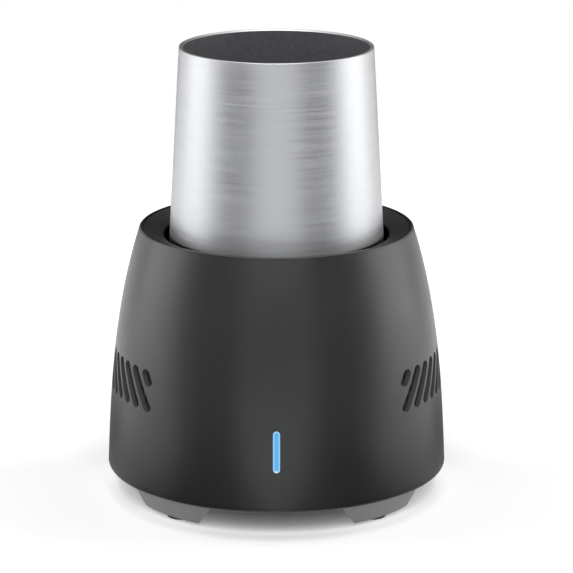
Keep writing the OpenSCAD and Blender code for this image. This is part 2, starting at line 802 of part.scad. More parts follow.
module fan_frame() {
    span = fan_w - 2 * frame_corner;
    color("#1d1d1f") {
        translate([0, 0, fan_z]) linear_extrude(height = fan_t) difference() {
            union() {
                square([fan_w, span], center = true);
                square([span, fan_w], center = true);
                for (x = [-1, 1], y = [-1, 1]) translate([x * span / 2, y * span / 2]) circle(r = frame_corner);
            }
            circle(d = fan_bore);
            for (x = [-1, 1], y = [-1, 1]) translate([x * hole_c, y * hole_c]) circle(d = screw_d + 1.4);
        }
        difference() {
            union() {
                disc(hub_d / 2 - hub_wall, fan_z, hub_plate_t);
                disc(bearing_r + tube_wall, fan_z, hub_plate_t + bearing_h);
                intersection() {
                    for (turn = [0, quarter]) rotate([0, 0, turn]) block(fan_w, strut_w, fan_z, hub_plate_t);
                    disc(fan_bore / 2 + over, fan_z, hub_plate_t);
                }
            }
            disc(bearing_r, fan_z + hub_plate_t, bearing_h + over);
        }
    }
}

module fan_bearing() {
    color("#b08d4f") difference() {
        disc(bearing_r - run_slack, fan_z + hub_plate_t, bearing_h);
        disc(shaft_d / 2 + run_slack, fan_z + hub_plate_t - over, bearing_h + 2 * over);
    }
}

module fan_stator() {
    low = fan_z + hub_plate_t + 0.5;
    out_r = hub_in_r - magnet_t - stator_gap;
    in_r = bearing_r + tube_wall + run_slack;
    groove = 3;
    color("#b4713a") difference() {
        disc(out_r, low, stator_h);
        disc(in_r, low - over, stator_h + 2 * over);
        for (turn = [0:quarter:270]) rotate([0, 0, turn + quarter / 2])
            translate([(out_r + in_r) / 2, -groove / 2, low - over])
                cube([out_r, groove, stator_h + 2 * over]);
    }
}

module fan_impeller() {
    tip_r = fan_bore / 2 - tip_gap;
    blade_h = fan_t - hub_plate_t - blade_low - hub_top_gap;
    boss_low = fan_z + hub_plate_t + bearing_h + 0.4;
    color("#242426") difference() {
        union() {
            difference() {
                disc(hub_d / 2, hub_z, hub_top - hub_z);
                disc(hub_in_r, hub_z - over, hub_top - hub_wall - hub_z + over);
            }
            disc(shaft_d, boss_low, hub_top - boss_low);
            intersection() {
                difference() {
                    disc(tip_r, fan_z + hub_plate_t + blade_low, blade_h);
                    disc(hub_d / 2 - hub_wall / 2, fan_z, fan_t);
                }
                for (k = [0:blade_count - 1]) rotate([0, 0, k * blade_turn])
                    translate([0, 0, fan_z + hub_plate_t + blade_low + blade_h / 2])
                        rotate([blade_pitch, 0, 0])
                            translate([0, -blade_chord, -blade_t / 2]) cube([body_d, 2 * blade_chord, blade_t]);
            }
        }
        disc(shaft_d / 2, fan_z, hub_top - hub_wall / 2 - fan_z);
    }
}

module fan_shaft() {
    low = fan_z + hub_plate_t + shaft_low;
    color("#c9cbce") disc(shaft_d / 2, low, hub_top - hub_wall / 2 - low);
}

module fan_magnet() {
    color("#4a4745") difference() {
        disc(hub_in_r - run_slack, hub_top - hub_wall - magnet_h, magnet_h);
        disc(hub_in_r - magnet_t, hub_top - hub_wall - magnet_h - over, magnet_h + 2 * over);
    }
}

module control_board() {
    color("#2c6a43") translate([-board_w / 2, board_y, board_z]) cube([board_w, board_t, board_h]);
}

module tact_switch() {
    color("#2b2b2d") difference() {
        translate([-switch_w / 2, board_y - switch_h, key_z - switch_w / 2]) cube([switch_w, switch_h, switch_w]);
        along_y(0, board_y - switch_h - over, key_z)
            cylinder(d = plunger_d + screw_slack, h = plunger_in + 2 * over);
    }
}

module switch_plunger() {
    color("#d8d8d6") along_y(0, board_y - switch_h - plunger_out, key_z)
        cylinder(d = plunger_d, h = plunger_out + plunger_in);
}

module indicator_leds() {
    color("#f2f0e0") for (s = [-1, 1])
        translate([-led_w / 2, board_y - led_t, key_z + s * led_up - led_h / 2]) cube([led_w, led_t, led_h]);
}

module controller_chip() {
    color("#1a1a1c") translate([chip_at[0], part_y, board_z + chip_at[1]]) cube([chip_w, chip_t, chip_w]);
}

module board_capacitors() {
    color("#3a4a7a") for (x = capacitor_x)
        along_y(x, part_y, board_z + capacitor_up) cylinder(d = capacitor_d, h = capacitor_h);
}

module board_inductor() {
    color("#55534f") translate([coil_at[0], part_y, board_z + coil_at[1]]) cube([coil_w, coil_t, coil_w]);
}

module board_connectors() {
    color("#e8e6dc") for (x = [-connector_step, 0, connector_step])
        translate([x - connector_w / 2, part_y, connector_z]) cube([connector_w, connector_t, connector_w]);
}

module power_lead() { color("#1b1b1d") tube(power_route, lead_d, [1, 0, 0]); }

module fan_lead() { color("#1b1b1d") tube(fan_route, lead_d, [1, 0, 0]); }

module peltier_lead() {
    color("#a8322c") for (x = lead_sides) translate([x, 0, 0]) tube(peltier_route, module_lead_d, [1, 0, 0]);
}

module sensor_lead() { color("#1b1b1d") tube(sensor_route, sensor_lead_d, [1, 0, 0]); }

housing_shell();
top_collar();
cup();
power_key();
mirror([1, 0, 0]) vent_screen();  // vent_screen_left
vent_screen();  // vent_screen_right
base_plate();
foot_pad(225);  // foot_pad_front_left
foot_pad(315);  // foot_pad_front_right
foot_pad(135);  // foot_pad_rear_left
foot_pad(45);  // foot_pad_rear_right
housing_screws();
stack_screws();
dc_inlet();
dc_inlet_pin();
dc_inlet_nut();
cold_plate();
well_seal();
insulation_ring();
temperature_sensor();
peltier_cold_face();
peltier_couples();
peltier_hot_face();
peltier_gasket();
clamp_screws();
clamp_washers();
heat_sink();
fan_frame();
fan_bearing();
fan_stator();
fan_impeller();
fan_shaft();
fan_magnet();
control_board();
tact_switch();
switch_plunger();
indicator_leds();
controller_chip();
board_capacitors();
board_inductor();
board_connectors();
power_lead();
fan_lead();
peltier_lead();
sensor_lead();
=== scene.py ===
import math

import bmesh
import bpy
from bpy.props import FloatProperty, FloatVectorProperty, IntProperty, PointerProperty
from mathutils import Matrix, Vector


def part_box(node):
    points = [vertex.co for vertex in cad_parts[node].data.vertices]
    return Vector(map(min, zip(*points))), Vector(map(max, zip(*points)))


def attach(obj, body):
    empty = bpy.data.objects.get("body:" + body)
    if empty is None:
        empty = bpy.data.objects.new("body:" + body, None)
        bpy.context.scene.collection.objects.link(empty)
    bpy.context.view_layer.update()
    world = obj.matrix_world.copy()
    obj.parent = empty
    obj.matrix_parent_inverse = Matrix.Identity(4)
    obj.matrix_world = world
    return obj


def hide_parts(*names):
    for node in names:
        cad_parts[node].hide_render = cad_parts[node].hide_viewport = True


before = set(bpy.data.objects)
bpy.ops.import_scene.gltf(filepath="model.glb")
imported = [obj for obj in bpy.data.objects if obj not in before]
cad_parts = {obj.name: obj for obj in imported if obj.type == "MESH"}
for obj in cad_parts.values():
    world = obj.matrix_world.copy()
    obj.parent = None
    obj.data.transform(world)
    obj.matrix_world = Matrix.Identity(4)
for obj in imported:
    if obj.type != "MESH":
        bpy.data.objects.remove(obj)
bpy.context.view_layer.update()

bl_info = {
    "name": "Desktop drink chiller",
    "version": (1, 0, 0),
    "blender": (4, 5, 0),
    "location": "View3D > Sidebar > Chiller",
    "description": "Models and finishes a desktop drink chiller around its packed solids",
    "category": "Object",
}

MM = 0.001
TURN = 2 * math.pi
QUARTER = math.pi / 2
OVER = 1 * MM
SAME = 2e-6
LATHE_STEPS = 192
RING_STEPS = 96
ROUND_STEPS = 64
ROD_STEPS = 48
SMALL_STEPS = 32
NUT_SIDES = 6
SIDE_STEPS = 72
INSIDE_STEPS = 24
ARC_STEPS = 6
SHELL_CURVE = (0.298, 0.095, 0.607)


def linear(code):
    """Linear colour of an sRGB hex value."""
    parts = [int(code[i:i + 2], 16) / 255 for i in (1, 3, 5)]
    return tuple(p / 12.92 if p <= 0.04045 else ((p + 0.055) / 1.055) ** 2.4 for p in parts) + (1.0,)


WHITE = linear("#ffffff")
BLACK = linear("#030303")


def length(name, description, millimetres):
    """Size property, written in millimetres and kept in metres."""
    return FloatProperty(
        name=name, description=description, default=millimetres * MM, unit="LENGTH", precision=5)


def angle(name, description, degrees):
    """Angle property, written in degrees and kept in radians."""
    return FloatProperty(name=name, description=description, default=math.radians(degrees), unit="ROTATION")


def colour(name, description, code):
    """Colour property, written as an sRGB hex value and kept linear."""
    return FloatVectorProperty(
        name=name, description=description, default=linear(code), subtype="COLOR", size=4, min=0, max=1)


class ChillerSizes(bpy.types.PropertyGroup):
    """Sizes of the pieces that are modelled here"""
    body_d: length("Housing diameter", "Diameter of the housing at its bottom edge", 132)
    body_h: length("Housing height", "Height from the bottom edge to the rim", 95)
    rim_d: length("Rim diameter", "Diameter of the housing at its rim", 105.2)
    wall: length("Wall", "Thickness of the housing wall", 2.2)
    edge_round: length("Edge rounding", "Rounding of the bottom edge", 1.5)
    rim_round: length("Rim rounding", "Rounding of the rim's outer corner", 0.6)
    lip_w: length("Lip width", "Width of the housing's lip around the collar", 1.2)
    ledge_drop: length("Ledge drop", "Depth of the collar's ledge below the rim", 3.4)
    ledge_t: length("Ledge thickness", "Thickness of the ledge that carries the collar", 1.8)
    ledge_w: length("Ledge width", "Width of the ledge that carries the collar", 2.8)
    ledge_root: length("Ledge root", "Height of the slope under the collar's ledge", 3)
    slack: length("Slack", "Side clearance between fixed pieces", 0.2)
    vent_count: IntProperty(name="Slots", description="Number of full slots on each side", default=13, min=1)
    vent_w: length("Slot width", "Width of a vent slot", 3.6)
    vent_h: length("Slot height", "Height of a full slot from end to end", 16)
    vent_short_h: length("Short slot height", "Height of a short slot at either end of the row", 6.2)
    vent_up: length("Slot level", "Height of the slots' lower ends above the bottom edge", 32.2)
    vent_lean: angle("Slot lean", "Lean of the slots from upright, tops to the rear", 33.5)
    vent_pitch: length("Slot spacing", "Spacing of the slots from front to rear", 5.84)
    vent_front: length("First slot", "Distance of the first full slot's foot in front of the axis", 41.2)
    screen_pocket: length("Screen pocket", "Depth of the pocket inside the wall for a screen", 0.8)
    screen_t: length("Screen thickness", "Thickness of a screen", 1)
    screen_margin: length("Screen margin", "Margin of a screen around the row of slots", 2)
    slit_w: length("Slit width", "Width of an upright slit in a screen", 1.1)
    slit_pitch: length("Slit spacing", "Spacing of the slits in a screen", 2.4)
    cup_rim_d: length("Cup rim diameter", "Outer diameter of the cup at its rim", 74.1)
    cup_h: length("Cup height", "Height of the cup", 104.6)
    cup_taper: angle("Cup taper", "Slope of the cup's side from upright", 3.29)
    cup_wall: length("Cup wall", "Thickness of the cup's wall", 1.5)
    cup_floor: length("Cup floor", "Thickness of the cup's floor", 2.5)
    cup_corner: length("Cup corner", "Rounding of the cup's bottom corner", 3)
    cup_bevel: length("Cup bevel", "Bevel inside the cup's rim", 0.5)
    cup_lip: length("Cup lip", "Rounding of the cup's outer lip", 0.3)
    lift_gap: length("Lift gap", "Room between the cup's widest part and the hole", 0.36)
    dish_drop: length("Dish drop", "Drop of the dished collar from the lip to the hole", 2.8)
    hole_bevel: length("Hole bevel", "Bevel at the edge of the collar's hole", 0.5)
    sleeve_t: length("Sleeve", "Thickness of the well's sleeve", 2)
    skirt_drop: length("Skirt drop", "Drop of the collar's slope below the ledge, at the sleeve", 1)
    skirt_rise: length("Skirt rise", "Rise of the collar's slope above the ledge's underside", 0.5)
    seal_t: length("Seal", "Thickness of the seal under the sleeve", 2)
    pad_out: length("Pad height", "Height of a pad that shows under its leg", 1.5)
    pad_seat: length("Pad seat", "Depth of a pad's seat in its leg", 1)
    pad_d: length("Pad diameter", "Diameter of a pad", 11.6)
    pad_edge: length("Pad edge", "Distance of a pad inside its leg's outer face", 1.2)
    leg_h: length("Leg height", "Height of the legs below the housing's bottom edge", 9.3)
    leg_inset: length("Leg inset", "Distance of the legs' outer faces inside the bottom edge", 7.9)
    leg_deep: length("Leg depth", "Depth of a leg from its outer to its inner face", 13.54)
    leg_foot_w: length("Leg width", "Width of a leg at its foot", 29.3)
    leg_lean: angle("Leg lean", "Slope of a leg's ends from upright", 31)
    leg_step: length("Leg step", "Distance of a leg's face inside the plate's edge, at the plate", 1.8)
    plate_t: length("Plate", "Thickness of the base plate", 2.5)
    plate_up: length("Plate level", "Distance of the base plate above the bottom edge", 1.5)
    grille_first: length("First grille slot", "Inner radius of the grille's first round slot", 5.5)
    grille_slot: length("Grille slot", "Width of a round slot in the grille", 3.2)
    grille_pitch: length("Grille spacing", "Spacing of the round slots in the grille", 5.4)
    grille_spoke: length("Grille spoke", "Width of the grille's spokes", 3)
    grille_rings: IntProperty(name="Grille slots", description="Number of round slots", default=6, min=1)
    post_h: length("Post height", "Height of the posts under the fan", 3)
    post_d: length("Post diameter", "Diameter of the posts under the fan", 9)
    boss_h: length("Boss height", "Height of the housing's screw bosses", 9)
    boss_d: length("Boss diameter", "Diameter of a screw boss", 7)
    boss_in: length("Boss distance", "Distance of a boss's outside from the housing's wall", 3)
    hole_c: length("Stack screw place", "Distance of the stack screws from the axis in X and Y", 35.75)
    clamp_c: length("Clamp screw place", "Distance of the clamp screws from the axis in X and Y", 26)
    screw_d: length("Screw diameter", "Diameter of the small screws", 2.9)
    thread_pitch: length("Thread pitch", "Pitch of the screws' threads", 1)
    head_d: length("Screw head diameter", "Diameter of the screw heads", 5.4)
    head_h: length("Screw head height", "Height of the screw heads", 1.9)
    head_floor: length("Screw recess", "Depth of a housing screw's recess in the plate", 1.2)
    head_room: length("Screw head room", "Room around a sunk screw head", 0.8)
    stack_head_drop: length("Stack screw level", "Distance of a stack screw's head below the plate", 2.8)
    key_w: length("Key width", "Width of the power key", 2.7)
    key_h: length("Key height", "Height of the power key", 15.8)
    key_up: length("Key level", "Height of the key's middle above the bottom edge", 23.9)
    key_proud: length("Key stand", "Distance that the key stands proud of the housing", 0.3)
    key_gap: length("Key gap", "Room around the key", 0.25)
    key_edge: length("Key edge", "Rounding of the key's front edge", 0.35)
    key_slot_r: length("Key slot", "Distance of the key slot's inner end from the axis", 59)
    key_seat_r: length("Key seat", "Distance of the key's seat from the axis", 60.8)
    key_seat_t: length("Key seat thickness", "Thickness of the key's seat", 2.7)
    key_seat_rim: length("Key seat rim", "Rim of the key's seat around the flange", 1)
    key_flange_w: length("Key flange width", "Width of the key's flange", 7)
    key_flange_h: length("Key flange height", "Height of the key's flange", 20)
    key_flange_t: length("Key flange thickness", "Thickness of the key's flange", 1.6)
    pusher_d: length("Key pusher", "Diameter of the key's pusher", 3)
    inlet_up: length("Inlet level", "Height of the inlet's axis above the bottom edge", 21.5)
    inlet_sink: length("Inlet depth", "Depth of the inlet's seat below the housing's surface", 3)
    inlet_panel: length("Inlet panel", "Thickness of the panel that carries the inlet", 3.7)
    inlet_boss: length("Inlet boss", "Width of the inlet's panel around the flange", 2.6)
    flange_d: length("Inlet flange", "Diameter of the inlet's flange", 11.6)
    flange_t: length("Inlet flange thickness", "Thickness of the inlet's flange", 1.4)
    barrel_d: length("Inlet barrel", "Diameter of the inlet's barrel", 8)
    barrel_deep: length("Inlet barrel length", "Length of the inlet's barrel behind its flange", 14.2)
    socket_d: length("Inlet socket", "Diameter of the inlet's socket", 6)
    socket_deep: length("Inlet socket depth", "Depth of the inlet's socket", 10.5)
    pin_d: length("Inlet pin", "Diameter of the inlet's centre pin", 2.1)
    cold_t: length("Cold plate", "Thickness of the cold plate", 6.2)
    clamp_bore: length("Clamp screw bore", "Depth of a clamp screw's bore in the cold plate", 3.3)
    sensor_bore_d: length("Sensor bore", "Diameter of the sensor's bore in the cold plate", 3.1)
    sensor_bore: length("Sensor bore depth", "Depth of the sensor's bore in the cold plate", 6)

    @property
    def edge_z(self):
        return self.pad_out + self.leg_h

    @property
    def rim_z(self):
        return self.edge_z + self.body_h

    @property
    def plate_z(self):
        return self.edge_z + self.plate_up

    @property
    def plate_top(self):
        return self.plate_z + self.plate_t

    @property
    def ledge_z(self):
        return self.rim_z - self.ledge_drop

    @property
    def lip_r(self):
        return self.rim_d / 2 - self.lip_w

    @property
    def vent_z(self):
        return self.edge_z + self.vent_up

    @property
    def key_z(self):
        return self.edge_z + self.key_up

    @property
    def inlet_z(self):
        return self.edge_z + self.inlet_up

    @property
    def cup_z(self):
        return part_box("cup")[0].z

    @property
    def cup_base_r(self):
        return self.cup_rim_d / 2 + self.cup_h * math.tan(self.cup_taper)

    @property
    def hole_r(self):
        return self.cup_base_r + self.lift_gap

    @property
    def well_r(self):
        return self.hole_r + self.slack

    @property
    def sleeve_r(self):
        return self.well_r + self.sleeve_t

    @property
    def leg_out_r(self):
        return self.body_d / 2 - self.leg_inset

    @property
    def pad_r(self):
        return self.leg_out_r - self.pad_d / 2 - self.pad_edge

    @property
    def plate_r(self):
        return self.shell_r(self.plate_top) - self.wall - self.slack

    @property
    def boss_r(self):
        return self.shell_r(self.plate_top) - self.wall - self.boss_d / 2 - self.boss_in

    @property
    def inlet_seat_y(self):
        return self.shell_r(self.inlet_z) - self.inlet_sink

    def shell_r(self, z):
        """Radius of the housing's face at a level, from shares of the height, its square and its cube."""
        t = (z - self.edge_z) / self.body_h
        inset = (self.body_d - self.rim_d) / 2
        return self.body_d / 2 - inset * sum(share * t ** (k + 1) for k, share in enumerate(SHELL_CURVE))

    def shell_line(self, inset, low, high, count):
        """Points of the housing's side, moved in by a distance, from one level to another."""
        levels = [low + (high - low) * i / count for i in range(count + 1)]
        return [(self.shell_r(z) - inset, z) for z in levels]


class ChillerColours(bpy.types.PropertyGroup):
    """Colours of the finishes"""
    housing: colour("Housing", "Satin charcoal ABS of the housing", "#1a1b1c")
    collar: colour("Collar", "Charcoal ABS of the dished collar", "#1a1b1c")
    cup: colour("Cup", "Brushed aluminium of the cup's outside", "#babbbd")
    coat: colour("Cup coating", "Dark coating inside the cup", "#565759")
    light: colour("Key light", "Middle of the lit key", "#52aeea")
    light_edge: colour("Key light edge", "Rim and lower end of the lit key", "#eafaff")
    screen: colour("Screen", "Dark ABS of the vent screens", "#1f2021")
    # Painted shade: with its low gloss, this tone makes the slots' walls read as the shade in the slots.
    slot: colour("Slot walls", "Unpolished ABS of the slots' walls", "#38383b")
    # Painted shade: this near-black tone stands for the shade in the gap around the cup.
    well: colour("Well", "Matt wall of the well", "#0a0a0b")
    base: colour("Base", "Grey ABS of the base plate and legs", "#7f7f7f")
    rubber: colour("Rubber", "Black rubber of the pads and seal", "#19191a")
    steel: colour("Steel", "Zinc-plated steel of the screws", "#b4b6b9")
    black: colour("Black plastic", "Glass-filled plastic of the fan, inlet and switch", "#1d1d1f")
    floor: colour("Floor", "Pale floor of the studio", "#f2f2f2")


def clear_selection():
    """Leaves edit mode and deselects everything."""
    if bpy.context.mode != "OBJECT":
        bpy.ops.object.mode_set(mode="OBJECT")
    bpy.ops.object.select_all(action="DESELECT")


def take(obj):
    """Makes one object the only one selected, and active."""
    clear_selection()
    obj.select_set(True)
    bpy.context.view_layer.objects.active = obj


def settle(obj):
    """Puts an object's place, turn and scale into its mesh."""
    take(obj)
    bpy.ops.object.transform_apply(location=True, rotation=True, scale=True)
    return obj


def pick(obj, kind, test):
    """In edit mode, selects the corners, edges or faces that pass a test."""
    bpy.ops.mesh.select_mode(type=kind)
    bpy.ops.mesh.select_all(action="DESELECT")
    mesh = bmesh.from_edit_mesh(obj.data)
    for item in {"VERT": mesh.verts, "EDGE": mesh.edges, "FACE": mesh.faces}[kind]:
        if test(item):
            item.select_set(True)
    mesh.select_flush_mode()
    bmesh.update_edit_mesh(obj.data)


def edit(obj):
    """Opens one object in edit mode with all of it selected."""
    take(obj)
    bpy.ops.object.mode_set(mode="EDIT")
    bpy.ops.mesh.select_mode(type="VERT")
    bpy.ops.mesh.select_all(action="SELECT")


def close(obj):
    """Merges doubled corners, turns the faces outwards and leaves edit mode."""
    bpy.ops.mesh.select_all(action="SELECT")
    bpy.ops.mesh.remove_doubles(threshold=SAME)
    bpy.ops.mesh.normals_make_consistent(inside=False)
    bpy.ops.object.mode_set(mode="OBJECT")
    return obj


def lathe(name, outline, ring=True, steps=LATHE_STEPS):
    """Draws an outline of radius and height by extruding a corner, and spins it about Z."""
    points = [Vector((r, 0, z)) for r, z in outline]
    if ring:
        points.append(points[0])
    clear_selection()
    bpy.ops.mesh.primitive_plane_add(size=MM, location=points[0])
    obj = bpy.context.object
    obj.name = name
    settle(obj)
    edit(obj)
    bpy.ops.mesh.merge(type="CENTER")
    for here, there in zip(points, points[1:]):
        bpy.ops.mesh.extrude_region_move(TRANSFORM_OT_translate={"value": there - here})
    bpy.ops.mesh.select_all(action="SELECT")
    bpy.ops.mesh.remove_doubles(threshold=SAME)
    bpy.ops.mesh.spin(steps=steps, angle=TURN, center=(0, 0, 0), axis=(0, 0, 1))
    return close(obj)


def arc(r, z, radius, start, end):
    """Points of a quarter round about a centre, from one angle in degrees to another."""
    turns = [math.radians(start + (end - start) * i / ARC_STEPS) for i in range(ARC_STEPS + 1)]
    return [(r + radius * math.cos(a), z + radius * math.sin(a)) for a in turns]


def block(name, low, high):
    """Cube primitive drawn between two corners."""
    clear_selection()
    middle = [(a + b) / 2 for a, b in zip(low, high)]
    bpy.ops.mesh.primitive_cube_add(size=1, location=middle, scale=[b - a for a, b in zip(low, high)])
    obj = bpy.context.object
    obj.name = name
    return settle(obj)


def rod(name, start, axis, diameter, reach, corners=ROD_STEPS):
    """Cylinder primitive from a start point along X, Y or Z."""
    turn = {"X": (0, QUARTER, 0), "Y": (-QUARTER, 0, 0), "Z": (0, 0, 0)}[axis]
    way = {"X": Vector((1, 0, 0)), "Y": Vector((0, 1, 0)), "Z": Vector((0, 0, 1))}[axis]
    clear_selection()
    bpy.ops.mesh.primitive_cylinder_add(
        vertices=corners, radius=diameter / 2, depth=reach,
        location=Vector(start) + way * reach / 2, rotation=turn)
    obj = bpy.context.object
    obj.name = name
    return settle(obj)


def stretch(obj, middle, way, reach):
    """Pulls the half of a rod on one side of its middle along a way, which makes it a capsule."""
    edit(obj)
    pick(obj, "VERT", lambda v: (v.co - middle).dot(way) > 0)
    bpy.ops.transform.translate(value=way * reach)
    return close(obj)


def copies(obj, shifts):
    """Copies of a piece with meshes of their own, moved by each shift."""
    made = []
    for shift in shifts:
        take(obj)
        bpy.ops.object.duplicate_move(TRANSFORM_OT_translate={"value": shift})
        made.append(settle(bpy.context.object))
    return made


def turned(obj, turns):
    """Copies of a piece with meshes of their own, turned about Z."""
    made = []
    for turn in turns:
        take(obj)
        bpy.ops.object.duplicate()
        copy = bpy.context.object
        copy.rotation_euler = (0, 0, turn)
        made.append(settle(copy))
    return made


def four_of(obj):
    """A piece and its copies at the other three quarters of a turn about Z."""
    return [obj] + turned(obj, [QUARTER, 2 * QUARTER, 3 * QUARTER])


def under_legs(obj):
    """Moves a piece from +X to the four legs, which stand half way between the quarters."""
    made = turned(obj, [QUARTER * (k + 0.5) for k in range(4)])
    bpy.data.objects.remove(obj)
    return made


def joined(name, objects):
    """Several meshes as one object."""
    take(objects[0])
    for obj in objects:
        obj.select_set(True)
    bpy.ops.object.join()
    made = bpy.context.object
    made.name = name
    return made


def combine(target, tool, operation):
    """Applies a Boolean modifier and removes its tool."""
    take(target)
    modifier = target.modifiers.new(operation.title(), "BOOLEAN")
    modifier.object = tool
    modifier.operation = operation
    modifier.solver = "MANIFOLD"
    bpy.ops.object.modifier_apply(modifier=modifier.name)
    bpy.data.objects.remove(tool)
    return target


def soften(obj, width, sharpest=40, segments=2):
    """Bevels the sharp edges of a piece."""
    edit(obj)
    bpy.ops.mesh.select_mode(type="EDGE")
    bpy.ops.mesh.select_all(action="DESELECT")
    bpy.ops.mesh.edges_select_sharp(sharpness=math.radians(sharpest))
    bpy.ops.mesh.bevel(offset=width, segments=segments, affect="EDGES", clamp_overlap=True)
    return close(obj)


def halve(obj, point, normal):
    """Cuts a piece by a plane, removes what lies beyond it and fills the cut."""
    edit(obj)
    bpy.ops.mesh.bisect(plane_co=point, plane_no=normal, use_fill=True, clear_outer=True)
    return close(obj)


def smooth(obj, sharpest=35):
    """Shades a piece smooth up to an angle."""
    take(obj)
    bpy.ops.object.shade_smooth_by_angle(angle=math.radians(sharpest))


def copy_of(node):
    """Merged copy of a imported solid's mesh, with its flat faces whole again."""
    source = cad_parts[node]
    made = source.copy()
    made.data = source.data.copy()
    made.parent = None
    bpy.context.scene.collection.objects.link(made)
    made.name = node + "_piece"
    edit(made)
    bpy.ops.mesh.remove_doubles(threshold=SAME)
    bpy.ops.mesh.dissolve_limited(angle_limit=math.radians(1))
    bpy.ops.object.mode_set(mode="OBJECT")
    return made


def dress(obj, body, record_slot, finish, *nodes):
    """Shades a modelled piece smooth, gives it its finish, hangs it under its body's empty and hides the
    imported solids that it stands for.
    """
    smooth(obj)
    if not obj.data.materials or obj.data.materials[0] != finish:
        obj.data.materials.clear()
        obj.data.materials.append(finish)
    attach(obj, body)
    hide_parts(*nodes)


def second_finish(obj, finish, test):
    """Gives the faces that pass a test a finish of their own."""
    obj.data.materials.append(finish)
    edit(obj)
    pick(obj, "FACE", test)
    obj.active_material_index = 1
    bpy.ops.object.material_slot_assign()
    bpy.ops.object.mode_set(mode="OBJECT")


def coat(node, finish):
    """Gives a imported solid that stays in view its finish."""
    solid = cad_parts[node]
    solid.data.materials.clear()
    solid.data.materials.append(finish)


def add(tree, kind, inputs=(), **settings):
    """Adds a node, sets its options, and sets or links its inputs."""
    made = tree.nodes.new(kind)
    for key, value in settings.items():
        setattr(made, key, value)
    for key, value in dict(inputs).items():
        if isinstance(value, bpy.types.NodeSocket):
            tree.links.new(value, made.inputs[key])
        else:
            made.inputs[key].default_value = value
    return made


def blank(name):
    """New material with an empty node tree and its Object coordinates."""
    material = bpy.data.materials.new(name)
    material.use_nodes = True
    tree = material.node_tree
    tree.nodes.clear()
    place = add(tree, "ShaderNodeTexCoord").outputs["Object"]
    return material, tree, place


def shade_of(tone, share):
    """A colour made lighter or darker by a share."""
    return tuple(min(1.0, c * share) for c in tone[:3]) + (1.0,)


def shades(tone, spread):
    """Darker and lighter shade of a colour, as the two colours of a mix."""
    return {6: shade_of(tone, 1 - spread), 7: shade_of(tone, 1 + spread)}


def surface(tree, height, depth, inputs, strength=1.0, invert=False):
    """Ends a material's tree in its surface, with a bump of a real depth."""
    bump = add(tree, "ShaderNodeBump", {
        "Height": height, "Distance": depth, "Strength": strength}, invert=invert)
    shader = add(tree, "ShaderNodeBsdfPrincipled", {**inputs, "Normal": bump.outputs[0]})
    add(tree, "ShaderNodeOutputMaterial", {"Surface": shader.outputs[0]})


def moulded_plastic(name, tone, rough, grain=0.35 * MM, depth=0.012 * MM, ior=1.53):
    """Injection-moulded plastic: an even tone broken by the spark-eroded grain of the tool.

    Its gloss changes slowly with the mould's flow. The real grain is about 0.1 mm.
    It is drawn coarser so that it shows.
    """
    flow_size = 22 * MM
    gloss_spread = 0.03
    material, tree, place = blank(name)
    fine = add(tree, "ShaderNodeTexNoise", {"Vector": place, "Scale": 1 / grain, "Detail": 2.0})
    flow = add(tree, "ShaderNodeTexNoise", {"Vector": place, "Scale": 1 / flow_size, "Detail": 3.0})
    mixed = add(tree, "ShaderNodeMix", {0: flow.outputs["Fac"], **shades(tone, 0.07)}, data_type="RGBA")
    gloss = add(tree, "ShaderNodeMapRange", {
        "Value": flow.outputs["Fac"], "From Min": 0.3, "From Max": 0.7,
        "To Min": rough - gloss_spread, "To Max": rough + gloss_spread})
    surface(tree, fine.outputs["Fac"], depth, {
        "Base Color": mixed.outputs[2], "Roughness": gloss.outputs[0], "IOR": ior})
    return material


def brushed_metal(name, tone, rough, line, depth, turned_lines=0.0, streak=0.12):
    """Brushed or ground metal: hairlines along the tool's way, each a little other in gloss and tone.

    The real ones are about 0.1 mm apart. They are drawn wider so that they show.
    """
    material, tree, place = blank(name)
    spread = add(tree, "ShaderNodeMapping", {"Vector": place, "Scale": [1 / side for side in line]})
    hair = add(tree, "ShaderNodeTexNoise", {
        "Vector": spread.outputs[0], "Scale": 1.0, "Detail": 4.0, "Roughness": 0.7})
    mixed = add(tree, "ShaderNodeMix", {0: hair.outputs["Fac"], **shades(tone, streak)}, data_type="RGBA")
    gloss = add(tree, "ShaderNodeMapRange", {
        "Value": hair.outputs["Fac"], "From Min": 0.25, "From Max": 0.75,
        "To Min": rough - streak / 2, "To Max": rough + streak / 2})
    round_z = add(tree, "ShaderNodeTangent", direction_type="RADIAL", axis="Z")
    surface(tree, hair.outputs["Fac"], depth, {
        "Base Color": mixed.outputs[2], "Metallic": 1.0, "Roughness": gloss.outputs[0],
        "Anisotropic": turned_lines, "Anisotropic Rotation": 0.25, "Tangent": round_z.outputs[0]})
    return material


def cell_material(name, tone, dark, cell, rough, depth, metal=0.0):
    """Foam, sintered or cast stuff: cells or grains of one size, darker in the joints between them."""
    material, tree, place = blank(name)
    cells = add(tree, "ShaderNodeTexVoronoi", {"Vector": place, "Scale": 1 / cell}, feature="F1")
    mixed = add(tree, "ShaderNodeMix", {0: cells.outputs["Distance"], 6: tone, 7: dark}, data_type="RGBA")
    surface(tree, cells.outputs["Distance"], depth, {
        "Base Color": mixed.outputs[2], "Metallic": metal, "Roughness": rough}, invert=True)
    return material


